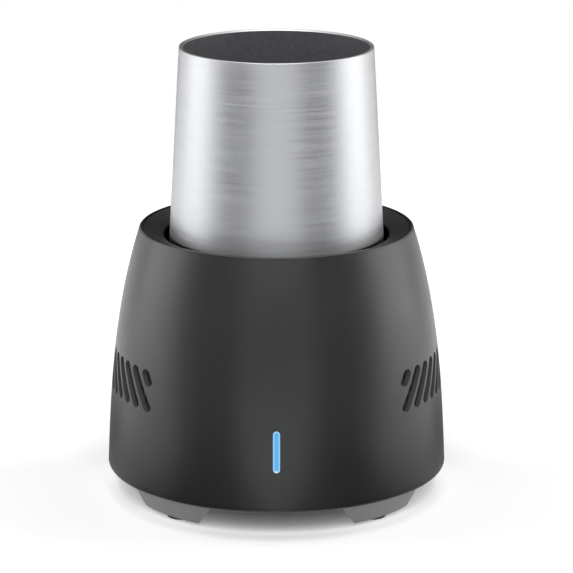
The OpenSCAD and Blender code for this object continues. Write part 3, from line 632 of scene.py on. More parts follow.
def lit_lens(name, tone, edge, half_w, half_run, middle, face):
    """Lit acrylic light guide: a blue glow in its face, paler at its rim and palest at its lower end."""
    haze_size = 1.2 * MM
    glow_from = face + 0.2 * MM
    glow_to = face + 0.6 * MM
    material, tree, place = blank(name)
    from_middle = add(tree, "ShaderNodeVectorMath", {0: place, 1: (0.0, 0.0, middle)}, operation="SUBTRACT")
    parts = add(tree, "ShaderNodeSeparateXYZ", {"Vector": from_middle.outputs[0]})
    run = add(tree, "ShaderNodeClamp", {"Value": parts.outputs["Z"], "Min": -half_run, "Max": half_run})
    past = add(tree, "ShaderNodeMath", {0: parts.outputs["Z"], 1: run.outputs[0]}, operation="SUBTRACT")
    across = add(tree, "ShaderNodeCombineXYZ", {"X": parts.outputs["X"], "Y": past.outputs[0]})
    reach = add(tree, "ShaderNodeVectorMath", {0: across.outputs[0]}, operation="LENGTH")
    rim = add(tree, "ShaderNodeMapRange", {
        "Value": reach.outputs["Value"], "From Min": half_w * 0.4, "From Max": half_w * 0.85,
        "To Min": 0.0, "To Max": 0.5})
    low = add(tree, "ShaderNodeMapRange", {
        "Value": past.outputs[0], "From Min": -half_w * 0.7, "From Max": -half_w * 0.15,
        "To Min": 1.0, "To Max": 0.0})
    share = add(tree, "ShaderNodeMath", {0: rim.outputs[0], 1: low.outputs[0]}, operation="MAXIMUM")
    glow = add(tree, "ShaderNodeMapRange", {
        "Value": parts.outputs["Y"], "From Min": glow_from, "From Max": glow_to,
        "To Min": 0.64, "To Max": 0.0})
    haze = add(tree, "ShaderNodeTexNoise", {"Vector": place, "Scale": 1 / haze_size, "Detail": 2.0})
    mixed = add(tree, "ShaderNodeMix", {0: share.outputs[0], 6: tone, 7: edge}, data_type="RGBA")
    surface(tree, haze.outputs["Fac"], 0.01 * MM, {
        "Base Color": shade_of(tone, 0.35), "Roughness": 0.25, "IOR": 1.49,
        "Emission Color": mixed.outputs[2], "Emission Strength": glow.outputs[0]}, strength=0.5)
    return material


def turned_face(name, tone, rough, pitch=0.6 * MM):
    """Face-turned aluminium: fine rings about the axis, drawn 0.6 mm apart so that they show."""
    waves_per_scale = 20
    material, tree, place = blank(name)
    flat = add(tree, "ShaderNodeVectorMath", {0: place, 1: (1.0, 1.0, 0.0)}, operation="MULTIPLY")
    rings = add(tree, "ShaderNodeTexWave", {
        "Vector": flat.outputs[0], "Scale": 1 / (pitch * waves_per_scale), "Distortion": 0.3, "Detail": 2.0},
        wave_type="RINGS", rings_direction="SPHERICAL")
    mixed = add(tree, "ShaderNodeMix", {
        0: rings.outputs["Fac"], 6: shade_of(tone, 0.9), 7: shade_of(tone, 1.06)}, data_type="RGBA")
    surface(tree, rings.outputs["Fac"], 0.004 * MM, {
        "Base Color": mixed.outputs[2], "Metallic": 1.0, "Roughness": rough})
    return material


def gridded(name, tone, gap_tone, cell, gap, rough, metal):
    """Rows of small pellets or windings: one tone, with darker joints at a fixed spacing."""
    material, tree, place = blank(name)
    grid = add(tree, "ShaderNodeTexBrick", {
        "Vector": place, "Color1": tone, "Color2": shade_of(tone, 0.88), "Mortar": gap_tone, "Scale": 1.0,
        "Mortar Size": gap / 2, "Mortar Smooth": 0.2, "Brick Width": cell, "Row Height": cell}, offset=0.0)
    surface(tree, grid.outputs["Fac"], 0.1 * MM, {
        "Base Color": grid.outputs["Color"], "Metallic": metal, "Roughness": rough}, invert=True)
    return material


class CHILLER_OT_housing(bpy.types.Operator):
    """Spins the housing, adds its bosses and cuts the vents, the key's slot and the inlet's seat"""
    bl_idname = "chiller.housing"
    bl_label = "Housing"

    def execute(self, context):
        s = context.scene.chiller_sizes
        tones = context.scene.chiller_colours
        low = s.edge_z + s.edge_round
        wall_top = s.ledge_z - s.ledge_t - s.ledge_root
        ledge_r = s.lip_r - s.ledge_w
        outline = [(s.shell_r(s.edge_z) - s.wall, s.edge_z)]
        outline += arc(s.shell_r(low) - s.edge_round, low, s.edge_round, -90, 0)
        outline += s.shell_line(0, low, s.rim_z - s.rim_round, SIDE_STEPS)[1:]
        outline += arc(s.rim_d / 2 - s.rim_round, s.rim_z - s.rim_round, s.rim_round, 0, 90)
        outline += [(s.lip_r, s.rim_z), (s.lip_r, s.ledge_z)]
        outline += [(ledge_r, s.ledge_z), (ledge_r, s.ledge_z - s.ledge_t)]
        outline += s.shell_line(s.wall, wall_top, low, INSIDE_STEPS)
        shell = lathe("housing", outline)
        combine(shell, self.inner_fittings(s), "UNION")
        combine(shell, self.cuts(s), "DIFFERENCE")
        combine(shell, self.screen_pockets(s), "DIFFERENCE")
        # Moulded and satin: dark grey, with broad soft highlights.
        finish = moulded_plastic("Satin ABS, charcoal", tones.housing, 0.35)
        shell.data.materials.clear()
        shell.data.materials.append(finish)
        # Painted shade: a dull, low-gloss finish, set so that the slots' walls read as dark as the shade in
        # the slots.
        matt = moulded_plastic("Matt ABS of the slot walls, painted shade", tones.slot, 0.75, ior=1.3)
        self.paint_slot_wall_shade(shell, s, matt)
        dress(shell, "base", "housing_plastic", finish, "housing_shell")
        return {"FINISHED"}

    def paint_slot_wall_shade(self, shell, s, finish):
        """Gives the slots' walls their own dull finish, which paints the shade in the slots."""
        side_on = 0.05
        vent_x = s.boss_r * math.cos(QUARTER / 2)

        def in_slot(face):
            place = face.calc_center_median()
            level = s.vent_z - OVER < place.z < s.vent_z + s.vent_h + OVER
            return level and abs(face.normal.x) < side_on and abs(place.x) > vent_x

        second_finish(shell, finish, in_slot)

    def inner_fittings(self, s):
        """Screw bosses with their ribs, the key's seat and the inlet's panel, inside the wall."""
        rib = 3 * MM
        boss = rod("boss", (s.boss_r, 0, s.plate_top), "Z", s.boss_d, s.boss_h)
        strip = block("rib", (s.boss_r, -rib / 2, s.plate_top),
            (s.shell_r(s.plate_top) - s.wall / 2, rib / 2, s.plate_top + s.boss_h))
        hole = rod("boss_hole", (s.boss_r, 0, s.plate_top - OVER), "Z", s.screw_d + s.slack, s.boss_h)
        combine(boss, strip, "UNION")
        combine(boss, hole, "DIFFERENCE")
        half_w = s.key_flange_w / 2 + s.key_seat_rim
        half_h = s.key_flange_h / 2 + s.key_seat_rim
        seat = block("key_seat", (-half_w, -s.key_seat_r - s.key_seat_t, s.key_z - half_h),
            (half_w, -s.key_seat_r, s.key_z + half_h))
        panel = rod("inlet_panel", (0, s.inlet_seat_y - s.inlet_panel, s.inlet_z), "Y",
            s.flange_d + 2 * s.inlet_boss, s.inlet_panel + OVER)
        return joined("inner_fittings", four_of(boss) + [seat, panel])

    def cuts(self, s):
        """Slots of both sides, the key's slot, and the inlet's recess and hole, as one tool."""
        run = math.tan(s.vent_lean)
        way = Vector((0, math.sin(s.vent_lean), math.cos(s.vent_lean)))
        reach = s.body_d / 2 + 4 * OVER

        def slot(foot_y, foot_z, height):
            foot = Vector((-reach, foot_y, foot_z + s.vent_w / 2))
            made = rod("slot", foot, "X", s.vent_w, 2 * reach, SMALL_STEPS)
            return stretch(made, foot, way, (height - s.vent_w) / math.cos(s.vent_lean))

        first = slot(-s.vent_front, s.vent_z, s.vent_h)
        row = [first] + copies(first, [(0, k * s.vent_pitch, 0) for k in range(1, s.vent_count)])
        full_run = (s.vent_h - s.vent_w) * run
        short_run = (s.vent_short_h - s.vent_w) * run
        row.append(slot(full_run - s.vent_front - s.vent_pitch - short_run,
            s.vent_z + s.vent_h - s.vent_short_h, s.vent_short_h))
        row.append(slot(s.vent_count * s.vent_pitch - s.vent_front, s.vent_z, s.vent_short_h))
        key_low = Vector((0, -reach, s.key_z - (s.key_h - s.key_w) / 2))
        key = rod("key_slot", key_low, "Y", s.key_w + 2 * s.key_gap, reach - s.key_slot_r)
        stretch(key, key_low, Vector((0, 0, 1)), s.key_h - s.key_w)
        recess_out = 10 * MM
        bore_in = 6 * MM
        recess = rod("inlet_recess", (0, s.inlet_seat_y, s.inlet_z), "Y",
            s.flange_d + 2 * s.slack, recess_out, ROUND_STEPS)
        bore = rod("inlet_bore", (0, s.inlet_seat_y - bore_in, s.inlet_z), "Y",
            s.barrel_d + s.slack, bore_in + OVER, ROUND_STEPS)
        combine(recess, bore, "UNION")
        return joined("cuts", row + [key, recess])

    def screen_pockets(self, s):
        """Band inside the wall behind the slots, between the screens' ends."""
        return screen_band(s, "pockets", s.wall - s.screen_pocket, s.screen_pocket + OVER,
            s.screen_margin + s.slack)


def screen_band(s, name, inset, thickness, margin):
    """Pair of curved bands behind the slots, at a distance inside the housing's face."""
    low = s.vent_z - margin
    high = s.vent_z + s.vent_h + margin
    steps = 8
    outline = s.shell_line(inset, low, high, steps)
    outline += s.shell_line(inset + thickness, high, low, steps)
    band = lathe(name, outline)
    front = s.vent_front + s.vent_w / 2 + margin
    back = ((s.vent_count - 1) * s.vent_pitch - s.vent_front + (s.vent_h - s.vent_w) * math.tan(s.vent_lean)
        + s.vent_w / 2 + margin)
    halve(band, (0, -front, 0), (0, -1, 0))
    return halve(band, (0, back, 0), (0, 1, 0))


class CHILLER_OT_collar(bpy.types.Operator):
    """Spins the dished collar and the well's sleeve under it"""
    bl_idname = "chiller.collar"
    bl_label = "Dished collar"

    def execute(self, context):
        s = context.scene.chiller_sizes
        tones = context.scene.chiller_colours
        dish_r = s.lip_r - s.slack
        dish_top = s.rim_z - s.slack
        hole_z = dish_top - s.dish_drop
        flange_r = s.lip_r - s.ledge_w - s.slack
        sleeve_z = s.cup_z + s.seal_t
        ledge_low = s.ledge_z - s.ledge_t
        edge = 0.25 * MM
        outline = [(dish_r, s.ledge_z), (dish_r, dish_top - edge), (dish_r - edge, dish_top - edge / 4)]
        outline += [(s.hole_r + s.hole_bevel + edge, hole_z + edge * 0.4), (s.hole_r + s.hole_bevel, hole_z)]
        outline += [(s.hole_r, hole_z - s.hole_bevel), (s.hole_r, hole_z - s.sleeve_t)]
        outline += [(s.well_r, hole_z - s.sleeve_t), (s.well_r, sleeve_z), (s.sleeve_r, sleeve_z)]
        outline += [(s.sleeve_r, ledge_low - s.skirt_drop), (flange_r, ledge_low + s.skirt_rise)]
        outline += [(flange_r, s.ledge_z)]
        collar = lathe("collar", outline)
        # Moulded and satin, a little duller than the housing.
        finish = moulded_plastic("Satin ABS, dark charcoal", tones.collar, 0.42)
        collar.data.materials.append(finish)
        # Painted shade: near-black and almost without gloss, so that the well's wall reads as the shade in
        # the gap around the cup.
        black = moulded_plastic("Matt ABS of the well's wall, painted shade", tones.well, 0.9, ior=1.15)
        self.paint_well_shade(collar, s, hole_z, black)
        dress(collar, "base", "collar_plastic", finish, "top_collar")
        return {"FINISHED"}

    def paint_well_shade(self, collar, s, hole_z, finish):
        """Gives the well's wall, from under the bevel of the hole downwards, its own near-black finish,
        which paints the shade in the gap around the cup.
        """

        def in_well(face):
            place = face.calc_center_median()
            radial = Vector((place.x, place.y, 0))
            below = place.z < hole_z - s.hole_bevel
            return below and radial.dot(face.normal) < 0 and radial.length < s.well_r + s.slack

        second_finish(collar, finish, in_well)


class CHILLER_OT_cup(bpy.types.Operator):
    """Spins the tapered cup and gives its outside and inside their own finishes"""
    bl_idname = "chiller.cup"
    bl_label = "Cup"

    def execute(self, context):
        s = context.scene.chiller_sizes
        tones = context.scene.chiller_colours
        slope = math.tan(s.cup_taper)
        rim_r = s.cup_rim_d / 2
        top = s.cup_z + s.cup_h
        floor_z = s.cup_z + s.cup_floor
        in_corner = s.cup_corner - s.cup_wall
        corner_r = s.cup_base_r - s.cup_corner * (1 + slope)
        in_corner_r = s.cup_base_r - (s.cup_floor + in_corner) * slope - s.cup_wall - in_corner
        low = s.cup_z + s.cup_corner
        levels = [low + (top - s.cup_lip - low) * i / SIDE_STEPS for i in range(1, SIDE_STEPS + 1)]
        outline = [(0, s.cup_z)] + arc(corner_r, low, s.cup_corner, -90, 0)
        outline += [(s.cup_base_r - (z - s.cup_z) * slope, z) for z in levels]
        outline += arc(rim_r - s.cup_lip, top - s.cup_lip, s.cup_lip, 0, 90)
        outline += [(rim_r - s.cup_wall + s.cup_bevel, top), (rim_r - s.cup_wall, top - s.cup_bevel)]
        outline += arc(in_corner_r, floor_z + in_corner, in_corner, 0, -90) + [(0, floor_z)]
        cup = lathe("cup_piece", outline, ring=False)
        # Brushed around the axis: level hairlines and tall soft highlights.
        metal = brushed_metal("Brushed aluminium", tones.cup, 0.47, (40 * MM, 40 * MM, 0.9 * MM), 0.002 * MM,
            turned_lines=0.35, streak=0.2)
        cup.data.materials.append(metal)
        self.line_inside(cup, top - s.cup_bevel, floor_z, self.coating(tones.coat))
        dress(cup, "cup", "cup_metal", metal, "cup")
        return {"FINISHED"}

    def line_inside(self, cup, edge_z, floor_z, finish):
        """Gives the cup's inner wall, below the bevel of its rim, and its floor the dark lining."""
        level = 0.9

        def lined(face):
            place = face.calc_center_median()
            inner = Vector((place.x, place.y, 0)).dot(face.normal) < 0 and place.z < edge_z
            return inner or (face.normal.z > level and place.z < floor_z + OVER)

        second_finish(cup, finish, lined)

    def coating(self, tone):
        """Sprayed dark lining: matt, with the slight mottle and orange peel of a thin coat."""
        mottle_size = 1.5 * MM
        material, tree, place = blank("Sprayed lining, dark grey")
        mottle = add(tree, "ShaderNodeTexNoise", {"Vector": place, "Scale": 1 / mottle_size, "Detail": 5.0})
        mixed = add(tree, "ShaderNodeMix", {0: mottle.outputs["Fac"], **shades(tone, 0.4)}, data_type="RGBA")
        surface(tree, mottle.outputs["Fac"], 0.03 * MM, {"Base Color": mixed.outputs[2], "Roughness": 0.55})
        return material


class CHILLER_OT_power_key(bpy.types.Operator):
    """Makes the lit key: a capsule trimmed to the housing's curve, with its flange and pusher"""
    bl_idname = "chiller.power_key"
    bl_label = "Power key"

    def execute(self, context):
        s = context.scene.chiller_sizes
        tones = context.scene.chiller_colours
        run = s.key_h - s.key_w
        half_w = s.key_flange_w / 2
        half_h = s.key_flange_h / 2
        seat_y = -s.key_seat_r
        inside_y = seat_y + s.key_flange_t / 2
        edge = 0.2 * MM
        start = Vector((0, -s.body_d, s.key_z - run / 2))
        key = rod("power_key_piece", start, "Y", s.key_w, s.body_d + inside_y)
        stretch(key, start, Vector((0, 0, 1)), run)
        side = s.shell_line(-s.key_proud, s.edge_z, s.rim_z, SIDE_STEPS)
        face = lathe("key_face", [(0, s.edge_z)] + side + [(0, s.rim_z)], ring=False)
        combine(key, face, "INTERSECT")
        soften(key, s.key_edge, 50, 3)
        plate = block("key_flange", (-half_w, seat_y, s.key_z - half_h),
            (half_w, seat_y + s.key_flange_t, s.key_z + half_h))
        soften(plate, edge)
        pusher_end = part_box("power_key")[1].y
        pusher = rod("key_pusher", (0, inside_y, s.key_z), "Y", s.pusher_d, pusher_end - inside_y)
        soften(pusher, edge, 60)
        combine(key, plate, "UNION")
        combine(key, pusher, "UNION")
        front_y = -s.shell_r(s.key_z + s.key_h / 2) - s.key_proud
        # Moulded clear and lit from behind: a blue bar with a pale rim.
        finish = lit_lens("Lit acrylic, blue", tones.light, tones.light_edge,
            s.key_w / 2, run / 2, s.key_z, front_y)
        dress(key, "key", "key_lens", finish, "power_key")
        return {"FINISHED"}


class CHILLER_OT_vent_screens(bpy.types.Operator):
    """Makes the curved screens behind the slots and cuts their upright slits"""
    bl_idname = "chiller.vent_screens"
    bl_label = "Vent screens"

    def execute(self, context):
        s = context.scene.chiller_sizes
        tones = context.scene.chiller_colours
        # Moulded with a matt grain: dark, so that the slits hardly show.
        finish = moulded_plastic("ABS, matt dark grey", tones.screen, 0.7, ior=1.36)
        inset = s.wall - s.screen_pocket + s.slack
        pair = screen_band(s, "vent_screens", inset, s.screen_t, s.screen_margin)
        low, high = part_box("vent_screen_right")
        middle = (low.y + high.y) / 2
        count = int((high.y - low.y) / 2 / s.slit_pitch) - 1
        reach = s.body_d / 2
        first = block("slit", (-reach, middle - s.slit_w / 2, s.vent_z),
            (reach, middle + s.slit_w / 2, s.vent_z + s.vent_h))
        slits = [first] + copies(first, [(0, k * s.slit_pitch, 0) for k in range(-count, count + 1) if k])
        combine(pair, joined("slits", slits), "DIFFERENCE")
        take(pair)
        bpy.ops.object.duplicate()
        left = bpy.context.object
        for screen, side, node in ((pair, 1, "vent_screen_right"), (left, -1, "vent_screen_left")):
            edit(screen)
            pick(screen, "VERT", lambda v: v.co.x * side < 0)
            bpy.ops.mesh.delete(type="VERT")
            close(screen)
            screen.name = node + "_piece"
            dress(screen, "base", "screen_plastic", finish, node)
        return {"FINISHED"}


class CHILLER_OT_base(bpy.types.Operator):
    """Makes the base plate with its intake grille, four legs, posts and board rails"""
    bl_idname = "chiller.base"
    bl_label = "Base plate and legs"

    def execute(self, context):
        s = context.scene.chiller_sizes
        tones = context.scene.chiller_colours
        edge = 0.5 * MM
        outline = [(0, s.plate_z), (s.plate_r - edge, s.plate_z), (s.plate_r, s.plate_z + edge)]
        outline += [(s.plate_r, s.plate_top), (0, s.plate_top)]
        plate = lathe("base", outline, ring=False)
        combine(plate, self.grille(s), "DIFFERENCE")
        combine(plate, joined("legs", under_legs(self.leg(s))), "UNION")
        post = rod("post", (s.hole_c, s.hole_c, s.plate_top - OVER), "Z", s.post_d, s.post_h + OVER)
        uprights = four_of(post) + [self.rail(s, 1), self.rail(s, -1)]
        combine(plate, joined("posts", uprights), "UNION")
        combine(plate, self.holes(s), "DIFFERENCE")
        # Moulded and satin: a mid grey that shades softly.
        finish = moulded_plastic("ABS, satin grey", tones.base, 0.5)
        dress(plate, "base", "base_plastic", finish, "base_plate")
        return {"FINISHED"}

    def grille(self, s):
        """Round slots with the spokes left standing."""
        low = s.plate_z - OVER
        high = s.plate_top + OVER
        rings = []
        for k in range(s.grille_rings):
            r = s.grille_first + k * s.grille_pitch
            out_r = r + s.grille_slot
            rings.append(lathe("ring", [(r, low), (out_r, low), (out_r, high), (r, high)], steps=RING_STEPS))
        spoke = block("spoke", (-s.body_d / 2, -s.grille_spoke / 2, low - OVER),
            (s.body_d / 2, s.grille_spoke / 2, high + OVER))
        spokes = [spoke] + turned(spoke, [TURN / 6, TURN / 3])
        slots = joined("rings", rings)
        for bar in spokes:
            combine(slots, bar, "DIFFERENCE")
        return slots

    def leg(self, s):
        """A leg on +X: part of a ring that widens upwards, between two straight air gaps."""
        in_r = s.leg_out_r - s.leg_deep
        top_r = s.plate_r - s.leg_step
        top_z = s.plate_z + OVER
        leg = lathe("leg", [(in_r, s.pad_out), (s.leg_out_r, s.pad_out), (top_r, top_z), (in_r, top_z)])
        halve(leg, (0, 0, 0), (-1, 0, 0))
        turn = math.asin(s.leg_foot_w / 2 / s.leg_out_r)
        for side in (1, -1):
            foot = Vector((math.cos(turn), side * math.sin(turn), 0)) * s.leg_out_r
            foot.z = s.pad_out
            out = Vector((-1, side, 0)).normalized()
            normal = out * math.cos(s.leg_lean) - Vector((0, 0, 1)) * math.sin(s.leg_lean)
            halve(leg, foot, normal)
        return soften(leg, 0.3 * MM, 30, 3)

    def rail(self, s, side):
        """An upright rail with a groove for one edge of the board."""
        low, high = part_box("control_board")
        grip = 1 * MM
        wide = 4 * MM
        lips = 2.5 * MM
        rise = 26 * MM
        sunk = 4 * MM
        inner = side * (high.x - grip)
        outer = inner + side * wide
        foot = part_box("fan_frame")[0].z - sunk
        rail = block("rail", (min(inner, outer), low.y - lips, foot),
            (max(inner, outer), high.y + lips, low.z + rise))
        groove = block("groove", (low.x - s.slack, low.y - s.slack / 2, low.z),
            (high.x + s.slack, high.y + s.slack / 2, high.z))
        combine(rail, groove, "DIFFERENCE")
        return soften(rail, 0.2 * MM)

    def holes(self, s):
        """Recesses and holes of the housing screws, seats of the pads and holes of the stack screws."""
        recess = rod("recess", (s.boss_r, 0, s.plate_z - OVER), "Z",
            s.head_d + 2 * s.slack, OVER + s.head_floor)
        hole = rod("hole", (s.boss_r, 0, s.plate_z), "Z", s.screw_d + 2 * s.slack, s.plate_t + OVER)
        combine(recess, hole, "UNION")
        seat = rod("seat", (s.pad_r, 0, s.pad_out - OVER), "Z", s.pad_d + s.slack, OVER + s.pad_seat)
        head_z = s.plate_z - s.stack_head_drop
        bore_z = s.pad_out + s.pad_seat - OVER / 2
        shank_h = 12 * MM
        bore = rod("bore", (s.hole_c, s.hole_c, bore_z), "Z",
            s.head_d + 2 * s.head_room, head_z + s.head_h - bore_z)
        shank = rod("shank", (s.hole_c, s.hole_c, head_z), "Z", s.screw_d + 2 * s.slack, shank_h)
        combine(bore, shank, "UNION")
        tool = joined("seats", under_legs(seat))
        combine(tool, joined("bores", four_of(bore)), "UNION")
        return joined("holes", [tool] + four_of(recess))


class CHILLER_OT_foot_pads(bpy.types.Operator):
    """Spins one rubber pad with rounded edges and copies it under each leg"""
    bl_idname = "chiller.foot_pads"
    bl_label = "Foot pads"

    def execute(self, context):
        s = context.scene.chiller_sizes
        tones = context.scene.chiller_colours
        # Moulded rubber: black and dull, with a coarse grain.
        finish = moulded_plastic("Rubber, black", tones.rubber, 0.7, 0.5 * MM, 0.02 * MM, 1.52)
        r = s.pad_d / 2
        edge = 0.5 * MM
        high = s.pad_out + s.pad_seat
        outline = [(0, 0)] + arc(r - edge, edge, edge, -90, 0)
        outline += [(r, high - edge / 2), (r - edge / 2, high), (0, high)]
        pad = lathe("pad", outline, ring=False, steps=ROUND_STEPS)
        pad.location.x = s.pad_r
        settle(pad)
        names = ("rear_right", "rear_left", "front_left", "front_right")
        for name, copy in zip(names, under_legs(pad)):
            node = "foot_pad_" + name
            copy.name = node + "_piece"
            dress(copy, "base", "pad_rubber", finish, node)
        return {"FINISHED"}


class CHILLER_OT_screws(bpy.types.Operator):
    """Spins pan-head screws with threads, cuts their cross recesses and copies them to their places"""
    bl_idname = "chiller.screws"
    bl_label = "Screws"

    def execute(self, context):
        s = context.scene.chiller_sizes
        tones = context.scene.chiller_colours
        # Barrel-plated: bright grey, with a fine mottle.
        finish = brushed_metal("Zinc-plated steel", tones.steel, 0.35, (0.8 * MM,) * 3, 0.004 * MM)
        for node, place, head_up in (
            ("housing_screws", (s.boss_r, 0), False),
            ("stack_screws", (s.hole_c, s.hole_c), False),
            ("clamp_screws", (s.clamp_c, s.clamp_c), True),
        ):
            low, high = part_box(node)
            screw = self.screw(s, high.z - low.z)
            if head_up:
                screw.rotation_euler = (math.pi, 0, 0)
                screw.location = (*place, high.z)
            else:
                screw.location = (*place, low.z)
            settle(screw)
            made = joined(node + "_piece", four_of(screw))
            dress(made, "base", "screw_steel", finish, node)
        return {"FINISHED"}

    def screw(self, s, reach):
        """A screw on the axis with its head at the bottom."""
        head_r = s.head_d / 2
        dome = 0.7 * MM
        edge = 0.1 * MM
        crest = s.screw_d / 2
        core = crest - 0.25 * MM
        outline = [(0, 0), (head_r - 2 * dome, 0), (head_r - 0.6 * dome, 0.3 * dome), (head_r, dome)]
        outline += [(head_r, s.head_h - edge), (head_r - edge, s.head_h), (crest, s.head_h)]
        pitch = s.thread_pitch
        for k in range(int((reach - s.head_h - pitch) / pitch)):
            z = s.head_h + k * pitch
            outline += [(crest, z + 2 * edge), (core, z + 0.45 * pitch)]
            outline += [(core, z + 0.7 * pitch), (crest, z + pitch)]
        tip_h = 0.6 * MM
        tip_in = 0.4 * MM
        outline += [(core, reach - tip_h), (core - tip_in, reach), (0, reach)]
        screw = lathe("screw", outline, ring=False, steps=SMALL_STEPS)
        slot_w = 0.75 * MM
        reach_r = 1.5 * MM
        deep = 1.1 * MM
        bar = block("bar", (-reach_r, -slot_w / 2, -OVER), (reach_r, slot_w / 2, deep))
        cross = block("cross", (-slot_w / 2, -reach_r, -OVER), (slot_w / 2, reach_r, deep))
        combine(bar, cross, "UNION")
        return combine(screw, bar, "DIFFERENCE")


class CHILLER_OT_dc_inlet(bpy.types.Operator):
    """Spins the inlet's socket and pin about the Y axis and makes its nut"""
    bl_idname = "chiller.dc_inlet"
    bl_label = "DC inlet"

    def execute(self, context):
        s = context.scene.chiller_sizes
        tones = context.scene.chiller_colours
        # Moulded with glass fibre: black and half dull.
        black = moulded_plastic("Glass-filled nylon, black", tones.black, 0.45)
        # Turned and plated: a yellowish shine.
        plated = brushed_metal("Nickel-plated brass", linear("#cbb98c"), 0.25, (0.6 * MM,) * 3, 0.003 * MM)
        # Barrel-plated, as the screws are.
        steel = brushed_metal("Plated steel, nut", tones.steel, 0.35, (0.8 * MM,) * 3, 0.004 * MM)
        edge = 0.3 * MM
        floor = s.flange_t - s.socket_deep
        inlet = lathe("dc_inlet_piece", self.inlet_outline(s, edge, floor), ring=False, steps=RING_STEPS)
        pin_r = s.pin_d / 2
        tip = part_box("dc_inlet_pin")[1].y - s.inlet_seat_y
        pin_outline = [(0, floor), (pin_r, floor)]
        pin_outline += arc(pin_r - 2 * edge, tip - 2 * edge, 2 * edge, 0, 90) + [(0, tip)]
        pin = lathe("dc_inlet_pin_piece", pin_outline, ring=False, steps=ROD_STEPS)
        low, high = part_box("dc_inlet_nut")
        nut_t = high.y - low.y
        nut = rod("dc_inlet_nut_piece", (0, low.y, s.inlet_z), "Y", high.x - low.x, nut_t, NUT_SIDES)
        soften(nut, edge, 70)
        hole = rod("nut_hole", (0, low.y - OVER, s.inlet_z), "Y",
            s.barrel_d + s.slack / 2, nut_t + 2 * OVER, ROUND_STEPS)
        combine(nut, hole, "DIFFERENCE")
        for piece in (inlet, pin):
            piece.rotation_euler = (-QUARTER, 0, 0)
            piece.location = (0, s.inlet_seat_y, s.inlet_z)
            settle(piece)
        dress(inlet, "base", "black_plastic", black, "dc_inlet")
        dress(pin, "base", "contact_metal", plated, "dc_inlet_pin")
        dress(nut, "base", "screw_steel", steel, "dc_inlet_nut")
        return {"FINISHED"}

    def inlet_outline(self, s, edge, floor):
        """Half section of the inlet: its threaded barrel, its flange and the socket in it."""
        flange_r = s.flange_d / 2
        barrel_r = s.barrel_d / 2
        socket_r = s.socket_d / 2
        end = -s.barrel_deep
        pitch = 0.75 * MM
        thread = 0.2 * MM
        plain = 5 * MM
        outline = [(0, end), (barrel_r - edge, end), (barrel_r, end + edge)]
        for k in range(int((s.barrel_deep - plain) / pitch)):
            z = end + edge + k * pitch
            outline += [(barrel_r - thread, z + pitch / 2), (barrel_r, z + pitch)]
        outline += [(barrel_r, 0), (flange_r, 0)]
        outline += arc(flange_r - edge, s.flange_t - edge, edge, 0, 90)
        outline += [(socket_r + edge, s.flange_t), (socket_r, s.flange_t - edge)]
        return outline + [(socket_r, floor), (0, floor)]


class CHILLER_OT_cold_side(bpy.types.Operator):
    """Spins the cold plate and the well's seal, and finishes the foam, the module and the sensor"""
    bl_idname = "chiller.cold_side"
    bl_label = "Cold side"

    def execute(self, context):
        s = context.scene.chiller_sizes
        tones = context.scene.chiller_colours
        self.cold_plate(s)
        self.seal(s, tones.rubber)
        # Steam-moulded beads: white, with a pattern of round cells.
        coat("insulation_ring", cell_material(
            "Bead foam, white", linear("#ecebe6"), linear("#c9c7c0"), 3.2 * MM, 0.8, 0.25 * MM))
        # Cut from a foamed sheet: black, with fine pores.
        coat("peltier_gasket", cell_material(
            "Closed-cell foam, black", linear("#2c2c2e"), linear("#151516"), 0.7 * MM, 0.85, 0.06 * MM))
        # Fired ceramic: white, with a fine grain and a low gloss.
        alumina = cell_material(
            "Alumina ceramic, white", linear("#f0efeb"), linear("#dcdad4"), 0.5 * MM, 0.4, 0.003 * MM)
        coat("peltier_cold_face", alumina)
        coat("peltier_hot_face", alumina)
        # Sawn pellets in rows: grey and metallic, with dark gaps.
        coat("peltier_couples", gridded(
            "Bismuth telluride pellets", linear("#7d7f84"), linear("#1e1e20"), 2.4 * MM, 0.9 * MM, 0.4, 0.8))
        # Moulded and unpainted: cream, with a soft shine.
        coat("clamp_washers", moulded_plastic(
            "Nylon, natural", linear("#dcd8c8"), 0.45, 0.5 * MM, 0.006 * MM))
        # Cast in a mould: black and smooth.
        coat("temperature_sensor", moulded_plastic(
            "Epoxy, black", linear("#1f2126"), 0.25, 0.8 * MM, 0.01 * MM, 1.55))
        return {"FINISHED"}

    def cold_plate(self, s):
        """Round plate with bevelled edges, the clamp screws' sunk holes and the sensor's bore."""
        low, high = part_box("cold_plate")
        edge = 0.4 * MM
        r = high.x
        outline = [(0, low.z), (r - edge, low.z), (r, low.z + edge)]
        outline += [(r, high.z - edge), (r - edge, high.z), (0, high.z)]
        plate = lathe("cold_plate_piece", outline, ring=False)
        bore = rod("bore", (s.clamp_c, s.clamp_c, high.z - s.clamp_bore), "Z",
            s.head_d + 2 * s.head_room, s.clamp_bore + OVER)
        shank = rod("shank", (s.clamp_c, s.clamp_c, low.z - OVER), "Z", s.screw_d + 2 * s.slack, s.cold_t)
        combine(bore, shank, "UNION")
        sensor = rod("sensor_bore", (0, low.y - OVER, (low.z + high.z) / 2), "Y",
            s.sensor_bore_d, s.sensor_bore + OVER)
        combine(plate, joined("bores", four_of(bore) + [sensor]), "DIFFERENCE")
        # Faced on a lathe: pale grey, with fine rings.
        finish = turned_face("Face-turned aluminium", linear("#c6c8ca"), 0.32)
        dress(plate, "base", "sink_metal", finish, "cold_plate")

    def seal(self, s, tone):
        """Rubber ring with round outer edges under the well's sleeve."""
        low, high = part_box("well_seal")
        round_r = 0.6 * MM
        middle_r = high.x - round_r
        outline = arc(middle_r, low.z + round_r, round_r, -90, 0)
        outline += arc(middle_r, high.z - round_r, round_r, 0, 90)
        outline += [(s.well_r, high.z), (s.well_r, low.z)]
        seal = lathe("well_seal_piece", outline)
        # Moulded silicone: black, soft and dull.
        finish = moulded_plastic("Silicone rubber, black", tone, 0.6, 0.6 * MM, 0.015 * MM, 1.42)
        dress(seal, "base", "seal_rubber", finish, "well_seal")


